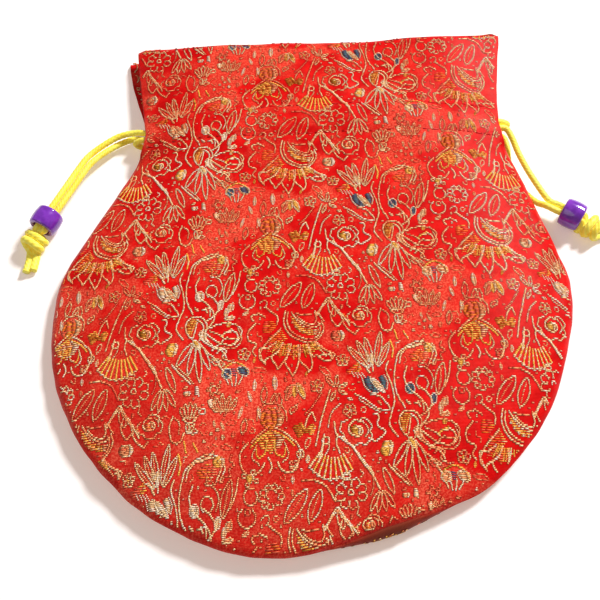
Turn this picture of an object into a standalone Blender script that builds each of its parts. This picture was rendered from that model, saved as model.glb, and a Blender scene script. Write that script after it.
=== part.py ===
"""Kinchaku drawstring pouch, lying flat on its back panel.

Two brocade panels meet at a round seam. Each panel's cloth runs on above the
seam as a neck, folds over at the mouth and comes down again inside, and the
space between its two layers is the channel for the drawstrings. Two
drawstrings cross the channels from opposite sides. Each one's two ends leave
the pouch together, pass a bead and end in one knot.

Metres, +Z up, +Y towards the mouth, X across. The origin is under the middle
of the pouch, on the surface that it lies on.
"""
import math

import bmesh
import bpy
from mathutils import Matrix, Vector

# Cloth and seam
CLOTH = 0.00045            # thickness of one layer of brocade
GAP = 0.0003               # between pieces that meet
RIM_HEIGHT = 0.0044        # the seam's height over the table
RIM_TURN = 0.0080          # width over which the back panel curls up to the seam
PUFF_HEIGHT = 0.0109       # the front panel's height in the middle
PUFF_WIDTH = 0.0350        # distance from the seam at which it reaches that height
PUFF_POWER = 2.2

# Outline of the body
BODY_RADIUS = 0.0745       # the round base
SHOULDER_RISE = 0.0500     # from the base's centre to the top of the seam
SHOULDER_EASE = 0.0110     # how gently the shoulder leaves the base and meets the neck
NECK_SHIFT = 0.0052        # the neck lies this far to the right of the base's centre
BEND_RISE = 0.0556         # and bends over within this height above it
BASE_SHIFT = -0.0044       # and the lowest point of the base this far to the left
ROLL = 0.0026              # the seam is rolled onto the front at the lower right
ROLL_ANGLE = math.radians(-73)
ROLL_SPREAD = math.radians(22)
ROLL_LIFT = 0.0014         # and stands this much higher there

# Neck: hem of the inner layer, channel, frill
HEM_RISE = 0.0016          # the inner layer's hem, above the top of the seam
CHANNEL_HEIGHT = 0.0110    # from the hem's stitches to the upper stitches
FRILL_HEIGHT = 0.0274      # from the upper stitches to the fold, in the middle
NECK_WIDTH = 0.1126        # at the channel
MOUTH_WIDTH = 0.1230       # at the fold
CORNER_RISE = 0.0045       # the mouth's corners lie this much further up
MOUTH_SPREAD = 0.0051      # how far the mouth stands open in the middle of the channel
STITCH_HEIGHT = 0.0112     # the front's height at the upper stitches, in the middle
FRILL_HEIGHT_MID = 0.0104  # and at the fold
STITCH_HEIGHT_SIDE = 0.0056
FRILL_HEIGHT_SIDE = 0.0050
CORNER_LIFT = 0.0026       # the right corner of the front frill stands up
BACK_SLIP = 0.0036         # the back layer of the neck lies this far to the left

# Drawstrings, beads and knots
CORD = 0.0020              # diameter
CORD_SPACING = CORD + 0.0005
BEAD_DIAMETER = 0.0083
BEAD_BORE = 0.0050
BEAD_LENGTH = 0.0063
BEAD_RIM = 0.0008          # radius of the rounded ends, under half of its wall
BEAD_BULGE = 0.0002        # how much the barrel swells in the middle
STRAND_SPACING = CORD + 0.0003
KNOT_LENGTH = 0.0060
KNOT_WIDTH = 0.0080
KNOT_HEIGHT = 0.0058
KNOT_TURNS = [(-0.50, 1.0, 0.1), (0.34, 0.93, 0.3)]   # its turns: lean, size, twist
TAIL_LENGTH = 0.0100       # from the knot's middle to the cut ends
KNOT_TAILS = [(-1, 1.0), (1, 0.93)]                   # its cut ends: side, share of the length
TAIL_SPACING = 0.0018      # between the middles of the two cut ends, pressed together
TAIL_START = 0.75          # they leave the knot at this share of its middle's height
TAIL_BEND = 0.55           # and bend at this share of their length
TAIL_SAG = 0.0006          # by this much
LOOP_REACH = 0.0046        # how far a drawstring's loop stands out of the slit
LOOP_SHARE = 0.55          # its sides bend over at this share of that reach
LOOP_FRONT_DROP = 0.10     # and have dropped by this share of its height on the front
LOOP_BACK_RISE = 0.02      # and risen by this share on the back
CHANNEL_SHARE = 0.985      # share of the half width that the strands run inside a channel
STRAIGHT_STOPS = [-1, -0.6, 0]                        # stops before the bead, as shares

# Fineness of the meshes
COLUMNS = 24
BASE_ROWS = 10
SHOULDER_ROWS = 7
FRILL_ROWS = 3
EDGE_DENSITY = 0.6         # share of the columns' spacing that crowds to the seam
CHANNEL_POINTS = 17
CORD_POINTS = 78
CORD_STEPS = 2
CURVE_STEPS = 20
BEAD_STEPS = 24
RIM_STEPS = 3
KNOT_SEGMENTS = 20
KNOT_RINGS = 12
WRAP_SEGMENTS = 18
WRAP_SIDES = 8
WRAP_TUBE = 0.1            # the tube of a ring whose radius is 1, before it is sized
TAIL_POINTS = 7
BISECTIONS = 30
MERGE = 0.00001

# Places that follow from the sizes
LAYER_STEP = CLOTH + GAP
LENGTH = (BODY_RADIUS + SHOULDER_RISE + HEM_RISE + CHANNEL_HEIGHT
          + FRILL_HEIGHT + CORNER_RISE + (LAYER_STEP + CLOTH) / 2)
BASE_Y = BODY_RADIUS - LENGTH / 2
SEAM_TOP_Y = BASE_Y + SHOULDER_RISE
HEM_Y = SEAM_TOP_Y + HEM_RISE
STITCH_Y = HEM_Y + CHANNEL_HEIGHT
CHANNEL_Y = (HEM_Y + STITCH_Y) / 2
FOLD_Y = STITCH_Y + FRILL_HEIGHT
CORD_SPAN = CORD_SPACING / 2 + CORD / 2 + GAP
CHANNEL_GAP = CORD + 2 * GAP
BEAD_Z = BEAD_DIAMETER / 2 + BEAD_BULGE
KNOT_CLEAR = 3 * GAP       # between a bead and its knot
KNOT_PRESS = CORD / 3      # the knot's body is this much smaller than its turns

# Left drawstring: bead, the direction in which its cords leave it, and the
# two free strands from the channel to the straight stretch before the bead.
LEFT_BEAD = Vector((-0.0803, 0.0170, BEAD_Z))
LEFT_AXIS = Vector((-0.440, -0.898, 0.0)).normalized()
LEFT_STRAIGHT = 0.0215
LEFT_TAIL = Vector((-0.10, -1.0, 0.0)).normalized()
LEFT_FRONT = [(-0.0550, 0.0491, 0.0050), (-0.0602, 0.0481, 0.0047),
              (-0.0650, 0.0450, 0.0045), (-0.0694, 0.0409, 0.0044)]
LEFT_BACK = [(-0.0556, 0.0491, 0.0018), (-0.0600, 0.0472, 0.0022),
             (-0.0641, 0.0436, 0.0031), (-0.0676, 0.0395, 0.0040)]

# Right drawstring, likewise.
RIGHT_BEAD = Vector((0.0796, 0.0126, BEAD_Z))
RIGHT_AXIS = Vector((0.830, -0.558, 0.0)).normalized()
RIGHT_STRAIGHT = 0.0082
RIGHT_TAIL = Vector((1.0, -0.10, 0.0)).normalized()
RIGHT_FRONT = [(0.0643, 0.0455, 0.0051), (0.0658, 0.0420, 0.0048),
               (0.0670, 0.0360, 0.0046), (0.0688, 0.0298, 0.0044),
               (0.0709, 0.0240, 0.0043)]
RIGHT_BACK = [(0.0640, 0.0448, 0.0016), (0.0649, 0.0415, 0.0012),
              (0.0646, 0.0370, 0.0011), (0.0645, 0.0320, 0.0011),
              (0.0658, 0.0265, 0.0011), (0.0684, 0.0215, 0.0018),
              (0.0703, 0.0182, 0.0030)]


def clamp(x, low=0.0, high=1.0):
    return max(low, min(high, x))


def smooth(x):
    x = clamp(x)
    return x * x * (3 - 2 * x)


def mix(a, b, t):
    return a + (b - a) * t


def steps(stations, at):
    """The value at a place, along straight lines between (place, value) stations."""
    for (p0, v0), (p1, v1) in zip(stations, stations[1:]):
        if at <= p1:
            return mix(v0, v1, clamp((at - p0) / (p1 - p0)))
    return stations[-1][1]


# The outline

def centre_x(y):
    """The middle of the pouch at y: it lies a little bent."""
    if y > BASE_Y:
        return NECK_SHIFT * smooth((y - BASE_Y) / BEND_RISE)
    return BASE_SHIFT * (BASE_Y - y) / BODY_RADIUS


def half_width(y):
    """Half the width above the base: a shoulder curve, then the flared neck."""
    if y >= CHANNEL_Y:
        flare = (y - CHANNEL_Y) / (FOLD_Y + CORNER_RISE - CHANNEL_Y)
        return mix(NECK_WIDTH, MOUTH_WIDTH, flare) / 2
    low, high = Vector((BODY_RADIUS, BASE_Y)), Vector((NECK_WIDTH / 2, CHANNEL_Y))
    ease = Vector((0, SHOULDER_EASE))
    near, far = 0.0, 1.0
    for _ in range(BISECTIONS):
        t = (near + far) / 2
        a, b, c = (1 - t) ** 3, 3 * t * (1 - t) ** 2, 3 * t * t * (1 - t)
        point = low * a + (low + ease) * b + (high - ease) * c + high * t ** 3
        near, far = (t, far) if point.y < y else (near, t)
    return point.x


def roll_share(x, y):
    """How much of the rolled seam is at this direction from the base's centre."""
    off = math.atan2(y - BASE_Y, x) - ROLL_ANGLE
    return smooth(1 - abs(off) / ROLL_SPREAD)


# Heights of the four layers, as the middle of each layer's thickness

def rise(depth):
    """0 at the seam to 1 where the front panel has its full height."""
    return 1 - (1 - clamp(depth / PUFF_WIDTH)) ** PUFF_POWER


def curl(depth):
    """1 at the seam to 0 where the back panel lies on the table."""
    return (1 - clamp(depth / RIM_TURN)) ** 2


def channel_gap(y):
    """The space between a neck's two layers."""
    edge = CHANNEL_HEIGHT / 2
    return steps([(0, CHANNEL_GAP), (CORD_SPAN, CHANNEL_GAP), (edge, GAP)],
                 abs(y - CHANNEL_Y))


def front_side_height(x, y):
    channel = CLOTH / 2 + 2 * (CHANNEL_GAP + CLOTH) + LAYER_STEP
    corner = CORNER_LIFT if x > 0 else 0
    return steps([(SEAM_TOP_Y, RIM_HEIGHT + LAYER_STEP / 2),
                  (HEM_Y, RIM_HEIGHT + 1.5 * LAYER_STEP),
                  (CHANNEL_Y - CORD_SPAN, channel), (CHANNEL_Y + CORD_SPAN, channel),
                  (STITCH_Y, STITCH_HEIGHT_SIDE),
                  (FOLD_Y + CORNER_RISE, FRILL_HEIGHT_SIDE + corner)], y)


def front_middle_height(y):
    channel = CLOTH / 2 + 2 * (CHANNEL_GAP + CLOTH) + LAYER_STEP + MOUTH_SPREAD
    return steps([(HEM_Y, PUFF_HEIGHT), (CHANNEL_Y - CORD_SPAN, channel),
                  (CHANNEL_Y + CORD_SPAN, channel), (STITCH_Y, STITCH_HEIGHT),
                  (FOLD_Y + CORNER_RISE, FRILL_HEIGHT_MID)], y)


def front_height(x, y, depth, rolled):
    low = front_side_height(x, y) + ROLL_LIFT * rolled
    return mix(low, front_middle_height(y), rise(depth))


def back_height(y, depth, rolled):
    low = CLOTH / 2
    rim = steps([(SEAM_TOP_Y, RIM_HEIGHT - LAYER_STEP / 2 + ROLL_LIFT * rolled),
                 (HEM_Y, RIM_HEIGHT - 1.5 * LAYER_STEP),
                 (CHANNEL_Y - CORD_SPAN, low)], y)
    return mix(low, rim, curl(depth))


# A panel is one sheet of cloth on a grid: u runs across it, and its rows run
# from the bottom of the base up to the mouth, over the fold and down to the hem.

def crowded(t):
    """t from -1 to 1, with its steps drawn together at both ends."""
    return mix(t, math.sin(t * math.pi / 2), EDGE_DENSITY)


def rows():
    """(part of the sheet, place in it) for each row."""
    out = [("base", crowded(i / BASE_ROWS - 1)) for i in range(BASE_ROWS)]
    out += [("outer", mix(BASE_Y, SEAM_TOP_Y, i / SHOULDER_ROWS))
            for i in range(SHOULDER_ROWS + 1)]
    neck = [HEM_Y, CHANNEL_Y - CORD_SPAN, CHANNEL_Y, CHANNEL_Y + CORD_SPAN, STITCH_Y]
    frill = [mix(STITCH_Y, FOLD_Y, i / FRILL_ROWS) for i in range(1, FRILL_ROWS + 1)]
    out += [("outer", y) for y in neck + frill]
    out += [("fold", FOLD_Y + LAYER_STEP / 2)]
    out += [("inner", y) for y in reversed(neck + frill)]
    return out


def mouth_rise(u, y):
    """The mouth's edge bows up to its corners."""
    return CORNER_RISE * u ** 4 * clamp((y - STITCH_Y) / FRILL_HEIGHT)


def base_point(u, v):
    """A place in the round base and its depth from the seam, for v from -1 to 0."""
    x = BODY_RADIUS * u * math.sqrt(1 - v * v / 2)
    y = BODY_RADIUS * v * math.sqrt(1 - u * u / 2)
    inside = (1 - u * u) * (1 - v * v)
    return x, BASE_Y + y, BODY_RADIUS * (1 - math.sqrt(1 - inside))


def front_point(part, u, place):
    rolled = 0.0
    if part == "base":
        x, y, depth = base_point(u, place)
        rolled = roll_share(x, y)
        inset = 1 - ROLL * rolled / BODY_RADIUS * (1 - rise(depth))
        x, y = x * inset, BASE_Y + (y - BASE_Y) * inset
    else:
        y = place + mouth_rise(u, place)
        x, depth = u * half_width(y), half_width(y) * (1 - abs(u))
    z = front_height(u, y, depth, rolled)
    if part == "fold":
        z -= LAYER_STEP / 2
    elif part == "inner":
        z -= CLOTH + channel_gap(place)
    return Vector((x + centre_x(y), y, z))


def back_point(part, u, place):
    rolled = 0.0
    if part == "base":
        x, y, depth = base_point(u, place)
        rolled = roll_share(x, y)
        wrapped = rolled * ROLL * (curl(depth) - 2 * curl(depth) * (1 - curl(depth)))
        inset = 1 - wrapped / BODY_RADIUS
        x, y = x * inset, BASE_Y + (y - BASE_Y) * inset
    else:
        y = place + mouth_rise(u, place)
        x, depth = u * half_width(y), half_width(y) * (1 - abs(u))
    slip = BACK_SLIP * smooth((y - CHANNEL_Y) / (FOLD_Y - CHANNEL_Y))
    z = back_height(y, depth, rolled)
    if part == "fold":
        z += LAYER_STEP / 2
    elif part == "inner":
        z += CLOTH + channel_gap(place)
    return Vector((x + centre_x(y) - slip, y, z))


def material(name, colour, roughness):
    made = bpy.data.materials.new(name)
    made.use_nodes = True
    shader = made.node_tree.nodes["Principled BSDF"]
    shader.inputs["Base Color"].default_value = (*colour, 1)
    shader.inputs["Roughness"].default_value = roughness
    shader.inputs["Metallic"].default_value = 0
    return made


def finished(name, mesh, look, place=Matrix()):
    mesh.materials.append(look)
    mesh.shade_smooth()
    piece = bpy.data.objects.new(name, mesh)
    piece.matrix_world = place
    parts.objects.link(piece)
    return piece


def cloth_panel(name, point, look):
    """A grid of cloth laid by the given function, then given its thickness."""
    stations = rows()
    bm = bmesh.new()
    bmesh.ops.create_grid(bm, x_segments=COLUMNS, y_segments=len(stations) - 1, size=1)
    for vert in bm.verts:
        part, place = stations[round((vert.co.y + 1) / 2 * (len(stations) - 1))]
        vert.co = point(part, crowded(vert.co.x), place)
    mesh = bpy.data.meshes.new(name)
    bm.to_mesh(mesh)
    bm.free()
    piece = finished(name, mesh, look)
    thicken = piece.modifiers.new("cloth", 'SOLIDIFY')
    thicken.thickness = CLOTH
    thicken.offset = 0
    thicken.use_even_offset = True
    return piece


# Drawstrings

def curve_points(route, count):
    """Evenly spaced points on a smooth curve through the route's points."""
    ends = [route[0] * 2 - route[1]] + route + [route[-1] * 2 - route[-2]]
    fine = []
    for a, b, c, d in zip(ends, ends[1:], ends[2:], ends[3:]):
        for i in range(CURVE_STEPS):
            t = i / CURVE_STEPS
            fine.append((b * 2 + (c - a) * t + (a * 2 - b * 5 + c * 4 - d) * t * t
                         + (b * 3 - a - c * 3 + d) * t ** 3) / 2)
    fine.append(route[-1])
    runs = [0.0]
    for a, b in zip(fine, fine[1:]):
        runs.append(runs[-1] + (b - a).length)
    out, k = [], 0
    for i in range(count):
        want = runs[-1] * i / (count - 1)
        while k < len(fine) - 2 and runs[k + 1] < want:
            k += 1
        share = (want - runs[k]) / (runs[k + 1] - runs[k])
        out.append(fine[k].lerp(fine[k + 1], clamp(share)))
    return out


def tube_curve(name, points, diameter):
    """A round cord along the points, as a curve with flat ends."""
    curve = bpy.data.curves.new(name, 'CURVE')
    curve.dimensions = '3D'
    curve.bevel_depth = diameter / 2
    curve.bevel_resolution = CORD_STEPS
    curve.use_fill_caps = True
    spline = curve.splines.new('POLY')
    spline.points.add(len(points) - 1)
    for spot, place in zip(spline.points, points):
        spot.co = (*place, 1)
    return curve


def straight_stretch(bead, axis, reach, side):
    """One strand's straight stretch, from before the bead to just short of the knot."""
    across = Vector((-axis.y, axis.x, 0)) * side * STRAND_SPACING / 2
    stops = [reach * share for share in STRAIGHT_STOPS] + [BEAD_LENGTH / 2 + GAP]
    return [bead + across + axis * stop for stop in stops]


def channel_stretch(side, front):
    """One strand's way through a channel, from left to right, above or below its middle."""
    y = CHANNEL_Y + side * CORD_SPACING / 2
    out = []
    for i in range(CHANNEL_POINTS):
        u = crowded(2 * i / (CHANNEL_POINTS - 1) - 1) * CHANNEL_SHARE
        depth = half_width(y) * (1 - abs(u))
        if front:
            z = front_height(u, y, depth, 0) - CLOTH / 2 - CHANNEL_GAP / 2
        else:
            z = CLOTH + CHANNEL_GAP / 2
        out.append(Vector((u * half_width(y) + centre_x(y), y, z)))
    return out


def loop(front_end, back_end, way):
    """The turn outside a slit, from the front channel's strand to the back one's."""
    drop = front_end.z - back_end.z
    reach = way * LOOP_REACH
    return [front_end + Vector((reach * LOOP_SHARE, 0, -drop * LOOP_FRONT_DROP)),
            front_end + Vector((reach, 0, -drop / 2)),
            back_end + Vector((reach * LOOP_SHARE, 0, drop * LOOP_BACK_RISE))]


def drawcord(name, way, side, bead, axis, reach, front, back, look):
    """A drawstring: knot, bead, front channel, loop, back channel, bead, knot.

    way is -1 where its ends leave at the left and 1 at the right; side is 1
    where it has the upper place in the channels and -1 where it has the lower.
    """
    through_front = channel_stretch(side, True)
    through_back = channel_stretch(side, False)
    if way > 0:
        through_front.reverse()
        through_back.reverse()
    free_front = [Vector(p) for p in front] + straight_stretch(bead, axis, reach, way)
    free_back = [Vector(p) for p in back] + straight_stretch(bead, axis, reach, -way)
    route = (free_front[::-1] + through_front
             + loop(through_front[-1], through_back[-1], -way)
             + through_back[::-1] + free_back)
    curve = tube_curve(name, curve_points(route, CORD_POINTS), CORD)
    curve.materials.append(look)
    piece = bpy.data.objects.new(name, curve)
    parts.objects.link(piece)
    return piece


# Beads and knots

def bead_profile():
    """The bead's section, from the top of the outside down and up the bore."""
    outer, bore, half = BEAD_DIAMETER / 2, BEAD_BORE / 2, BEAD_LENGTH / 2
    corners = [(outer - BEAD_RIM, half - BEAD_RIM, 90), (outer - BEAD_RIM, BEAD_RIM - half, 0),
               (bore + BEAD_RIM, BEAD_RIM - half, -90), (bore + BEAD_RIM, half - BEAD_RIM, -180)]
    section = []
    for number, (r, z, start) in enumerate(corners):
        for i in range(RIM_STEPS + 1):
            turn = math.radians(start - 90 / RIM_STEPS * i)
            section.append((r + BEAD_RIM * math.cos(turn), z + BEAD_RIM * math.sin(turn)))
        if number == 0:
            section.append((outer + BEAD_BULGE, 0))
    return section


def lying_along(axis, place):
    """A frame at place whose Z runs along axis and whose Y points up."""
    up = Vector((0, 0, 1))
    return Matrix.Translation(place) @ Matrix((up.cross(axis), up, axis)).transposed().to_4x4()


def bead(name, place, axis, look):
    bm = bmesh.new()
    ring = [bm.verts.new((r, 0, z)) for r, z in bead_profile()]
    for a, b in zip(ring, ring[1:] + ring[:1]):
        bm.edges.new((a, b))
    mesh = bpy.data.meshes.new(name)
    bm.to_mesh(mesh)
    bm.free()
    piece = finished(name, mesh, look, lying_along(axis, place))
    turn = piece.modifiers.new("turned", 'SCREW')
    turn.steps = turn.render_steps = BEAD_STEPS
    turn.use_merge_vertices = True
    turn.merge_threshold = MERGE
    return piece


def solid_tube(name, points, diameter):
    """A cord as a closed mesh that can be joined to others."""
    source = bpy.data.objects.new(name, tube_curve(name, points, diameter))
    parts.objects.link(source)
    bpy.context.view_layer.update()
    mesh = bpy.data.meshes.new_from_object(
        source.evaluated_get(bpy.context.evaluated_depsgraph_get()))
    bpy.data.objects.remove(source)
    bm = bmesh.new()
    bm.from_mesh(mesh)
    bmesh.ops.remove_doubles(bm, verts=bm.verts, dist=MERGE)
    bm.to_mesh(mesh)
    bm.free()
    piece = bpy.data.objects.new(name, mesh)
    cutters.objects.link(piece)
    piece.hide_render = True
    piece.display_type = 'WIRE'
    return piece


def wrap(name, middle, facing, size, twist):
    """One turn of the cord round the knot, as a ring that faces along the knot."""
    bpy.ops.mesh.primitive_torus_add(major_segments=WRAP_SEGMENTS, minor_segments=WRAP_SIDES,
                                     major_radius=1, minor_radius=WRAP_TUBE)
    ring = bpy.context.object
    ring.name = name
    for vert in ring.data.vertices:
        rim = Vector((vert.co.x, vert.co.y, 0)).normalized()
        tube = (vert.co - rim) / WRAP_TUBE * CORD / 2
        vert.co = Vector((rim.x * (KNOT_WIDTH - CORD) / 2,
                          rim.y * (KNOT_HEIGHT - CORD) / 2, 0)) * size + tube
    ring.data.transform(lying_along(facing, middle) @ Matrix.Rotation(twist, 4, 'Z'))
    for home in ring.users_collection:
        home.objects.unlink(ring)
    cutters.objects.link(ring)
    ring.hide_render = True
    ring.display_type = 'WIRE'
    return ring


def knot(name, bead_place, axis, tail, look):
    """Both strands' overhand knot behind the bead, with its two cut ends."""
    middle = bead_place + axis * (BEAD_LENGTH / 2 + KNOT_CLEAR + KNOT_LENGTH / 2)
    middle.z = KNOT_HEIGHT / 2 + GAP / 2
    bm = bmesh.new()
    bmesh.ops.create_uvsphere(bm, u_segments=KNOT_SEGMENTS, v_segments=KNOT_RINGS, radius=0.5)
    size = (KNOT_WIDTH - KNOT_PRESS, KNOT_HEIGHT - KNOT_PRESS, KNOT_LENGTH)
    bmesh.ops.scale(bm, verts=bm.verts, vec=size)
    mesh = bpy.data.meshes.new(name)
    bm.to_mesh(mesh)
    bm.free()
    piece = finished(name, mesh, look, lying_along(axis, middle))

    across = Vector((-tail.y, tail.x, 0))
    shapes = [wrap(f"{name}_wrap_{number}", middle, (axis + across * lean).normalized(),
                   share, twist) for number, (lean, share, twist) in enumerate(KNOT_TURNS)]
    for side, share in KNOT_TAILS:
        shift = across * side * TAIL_SPACING / 2
        start = middle + shift * share
        end = middle + shift + tail * TAIL_LENGTH * share
        start.z = middle.z * TAIL_START * share
        end.z = CORD / 2 + GAP * share
        bend = start.lerp(end, TAIL_BEND)
        bend.z -= TAIL_SAG
        points = curve_points([start, bend, end], TAIL_POINTS)
        shapes.append(solid_tube(f"{name}_tail_{side}", points, CORD))
    for shape in shapes:
        join = piece.modifiers.new(shape.name, 'BOOLEAN')
        join.operation = 'UNION'
        join.solver = 'EXACT'
        join.object = shape
    return piece


for old in list(bpy.data.objects):
    bpy.data.objects.remove(old)
parts = bpy.data.collections.new("kinchaku_pouch")
cutters = bpy.data.collections.new("shapes_joined_to_parts")
bpy.context.scene.collection.children.link(parts)
bpy.context.scene.collection.children.link(cutters)

brocade = material("red_brocade", (0.72, 0.02, 0.015), 0.45)
cord = material("yellow_cord", (0.90, 0.62, 0.04), 0.60)
plastic = material("purple_plastic", (0.16, 0.03, 0.36), 0.25)

cloth_panel("back_panel", back_point, brocade)
cloth_panel("front_panel", front_point, brocade)
drawcord("drawcord_left", -1, 1, LEFT_BEAD, LEFT_AXIS, LEFT_STRAIGHT,
         LEFT_FRONT, LEFT_BACK, cord)
drawcord("drawcord_right", 1, -1, RIGHT_BEAD, RIGHT_AXIS, RIGHT_STRAIGHT,
         RIGHT_FRONT, RIGHT_BACK, cord)
bead("bead_left", LEFT_BEAD, LEFT_AXIS, plastic)
bead("bead_right", RIGHT_BEAD, RIGHT_AXIS, plastic)
knot("knot_left", LEFT_BEAD, LEFT_AXIS, LEFT_TAIL, cord)
knot("knot_right", RIGHT_BEAD, RIGHT_AXIS, RIGHT_TAIL, cord)
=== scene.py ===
"""The looks of the kinchaku drawstring pouch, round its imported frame.

Metres, +Z up, +Y towards the mouth. The two panels are laid by the same shapes
as the solids, with folds and puckers added. The brocade's figures are drawn in
millimetres for one repeat, and woven as short raised threads in rows.
"""
import math

import bmesh
import bpy
from mathutils import Matrix, Vector, noise


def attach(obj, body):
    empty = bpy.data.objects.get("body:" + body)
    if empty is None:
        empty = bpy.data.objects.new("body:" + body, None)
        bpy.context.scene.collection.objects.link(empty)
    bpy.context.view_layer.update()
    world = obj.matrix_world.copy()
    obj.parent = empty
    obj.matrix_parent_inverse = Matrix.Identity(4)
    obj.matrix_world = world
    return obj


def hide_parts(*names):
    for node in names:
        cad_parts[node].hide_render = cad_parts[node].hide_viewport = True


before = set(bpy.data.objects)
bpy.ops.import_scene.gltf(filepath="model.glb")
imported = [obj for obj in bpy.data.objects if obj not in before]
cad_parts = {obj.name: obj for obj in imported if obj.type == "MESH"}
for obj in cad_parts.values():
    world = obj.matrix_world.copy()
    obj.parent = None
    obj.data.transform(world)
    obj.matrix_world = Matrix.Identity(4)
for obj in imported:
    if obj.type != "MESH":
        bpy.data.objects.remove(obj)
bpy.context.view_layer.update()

UP = Vector((0, 0, 1))

# Camera: the photograph's place and angle
CAMERA_PLACE = Vector((-0.0037, -0.11515, 0.20441))
CAMERA_AIM = Vector((-0.0037, -0.0110, 0.0))
CAMERA_ROLL = math.radians(2)
CAMERA_LENS = 46.8
SENSOR = 36

# The frame's own sizes
CLOTH = 0.00045
GAP = 0.0003
RIM_HEIGHT = 0.0044
RIM_TURN = 0.0080
PUFF_HEIGHT = 0.0109
PUFF_WIDTH = 0.0350
PUFF_POWER = 2.2
BODY_RADIUS = 0.0745
SHOULDER_RISE = 0.0500
SHOULDER_EASE = 0.0110
NECK_SHIFT = 0.0052
BEND_RISE = 0.0556
BASE_SHIFT = -0.0044
ROLL = 0.0042
ROLL_ANGLE = math.radians(-73)
ROLL_SPREAD = math.radians(22)
ROLL_LIFT = 0.0014
HEM_RISE = 0.0016
CHANNEL_HEIGHT = 0.0110
FRILL_HEIGHT = 0.0274
NECK_WIDTH = 0.1126
MOUTH_WIDTH = 0.1230
CORNER_RISE = 0.0045
MOUTH_SPREAD = 0.0051
CORNER_ROUND = 0.0012   # how far the mouth's corners are rounded off
STITCH_HEIGHT = 0.0112
FRILL_HEIGHT_MID = 0.0104
STITCH_HEIGHT_SIDE = 0.0056
FRILL_HEIGHT_SIDE = 0.0050
CORNER_LIFT = 0.0026
BACK_SLIP = 0.0036
CORD = 0.0020
CORD_SPACING = CORD + 0.0005
STRAND_SPACING = CORD + 0.0003
BEAD_DIAMETER = 0.0083
BEAD_BORE = 0.0050
BEAD_LENGTH = 0.0063
BEAD_RIM = 0.0008
BEAD_BULGE = 0.0002
KNOT_LENGTH = 0.0060
KNOT_WIDTH = 0.0080
KNOT_HEIGHT = 0.0058
TAIL_LENGTH = 0.0100
KNOT_SWELL = 1.18       # the cord is fuller where it isn't pulled
TAIL_SPACING = 0.0018
LOOP_REACH = 0.0046
LAYER_STEP = CLOTH + GAP
LENGTH = (BODY_RADIUS + SHOULDER_RISE + HEM_RISE + CHANNEL_HEIGHT
          + FRILL_HEIGHT + CORNER_RISE + (LAYER_STEP + CLOTH) / 2)
BASE_Y = BODY_RADIUS - LENGTH / 2
SEAM_TOP_Y = BASE_Y + SHOULDER_RISE
HEM_Y = SEAM_TOP_Y + HEM_RISE
STITCH_Y = HEM_Y + CHANNEL_HEIGHT
CHANNEL_Y = (HEM_Y + STITCH_Y) / 2
FOLD_Y = STITCH_Y + FRILL_HEIGHT
CORD_SPAN = CORD_SPACING / 2 + CORD / 2 + GAP
CHANNEL_GAP = CORD + 2 * GAP
BEAD_Z = BEAD_DIAMETER / 2 + BEAD_BULGE

LEFT_BEAD = Vector((-0.0803, 0.0170, BEAD_Z))
LEFT_AXIS = Vector((-0.440, -0.898, 0.0)).normalized()
LEFT_TAIL = Vector((-0.10, -1.0, 0.0)).normalized()
LEFT_STRAIGHT = 0.0215
LEFT_FRONT = [(-0.0550, 0.0491, 0.0050), (-0.0602, 0.0481, 0.0047),
              (-0.0650, 0.0450, 0.0045), (-0.0694, 0.0409, 0.0044)]
LEFT_BACK = [(-0.0556, 0.0491, 0.0018), (-0.0600, 0.0472, 0.0022),
             (-0.0641, 0.0436, 0.0031), (-0.0676, 0.0395, 0.0040)]
RIGHT_BEAD = Vector((0.0796, 0.0126, BEAD_Z))
RIGHT_AXIS = Vector((0.830, -0.558, 0.0)).normalized()
RIGHT_TAIL = Vector((1.0, -0.10, 0.0)).normalized()
RIGHT_STRAIGHT = 0.0082
RIGHT_FRONT = [(0.0643, 0.0455, 0.0051), (0.0658, 0.0420, 0.0048),
               (0.0670, 0.0360, 0.0046), (0.0688, 0.0298, 0.0044),
               (0.0709, 0.0240, 0.0043)]
RIGHT_BACK = [(0.0640, 0.0448, 0.0016), (0.0649, 0.0415, 0.0012),
              (0.0646, 0.0370, 0.0011), (0.0645, 0.0320, 0.0011),
              (0.0658, 0.0265, 0.0011), (0.0684, 0.0215, 0.0018),
              (0.0703, 0.0182, 0.0030)]


def clamp(x, low=0.0, high=1.0):
    return max(low, min(high, x))


def smooth(x):
    x = clamp(x)
    return x * x * (3 - 2 * x)


def mix(a, b, t):
    return a + (b - a) * t


def hump(x, width):
    """1 at 0, falling off evenly to both sides."""
    return math.exp(-(x / width) ** 2)


# Camera, floor and light

FLOOR_REACH = 2.0
FLOOR_COLOUR = (0.80, 0.80, 0.80, 1)
FLOOR_GLOW = (1, 0.72, 0.58, 1)
GLOW_STRENGTH = 0.34
SKY_COLOUR = (1, 0.985, 0.97, 1)
SKY_LIGHT = 0.205
SKY_SEEN = 1.0


def camera():
    data = bpy.data.cameras.new("camera")
    data.lens = CAMERA_LENS
    data.sensor_width = SENSOR
    data.clip_start = 0.01
    seen = bpy.data.objects.new("camera", data)
    forward = (CAMERA_AIM - CAMERA_PLACE).normalized()
    right = forward.cross(UP).normalized()
    up = right.cross(forward)
    c, s = math.cos(CAMERA_ROLL), math.sin(CAMERA_ROLL)
    turn = Matrix((right * c - up * s, right * s + up * c, -forward)).transposed()
    seen.matrix_world = Matrix.Translation(CAMERA_PLACE) @ turn.to_4x4()
    bpy.context.scene.collection.objects.link(seen)
    bpy.context.scene.camera = seen


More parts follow.
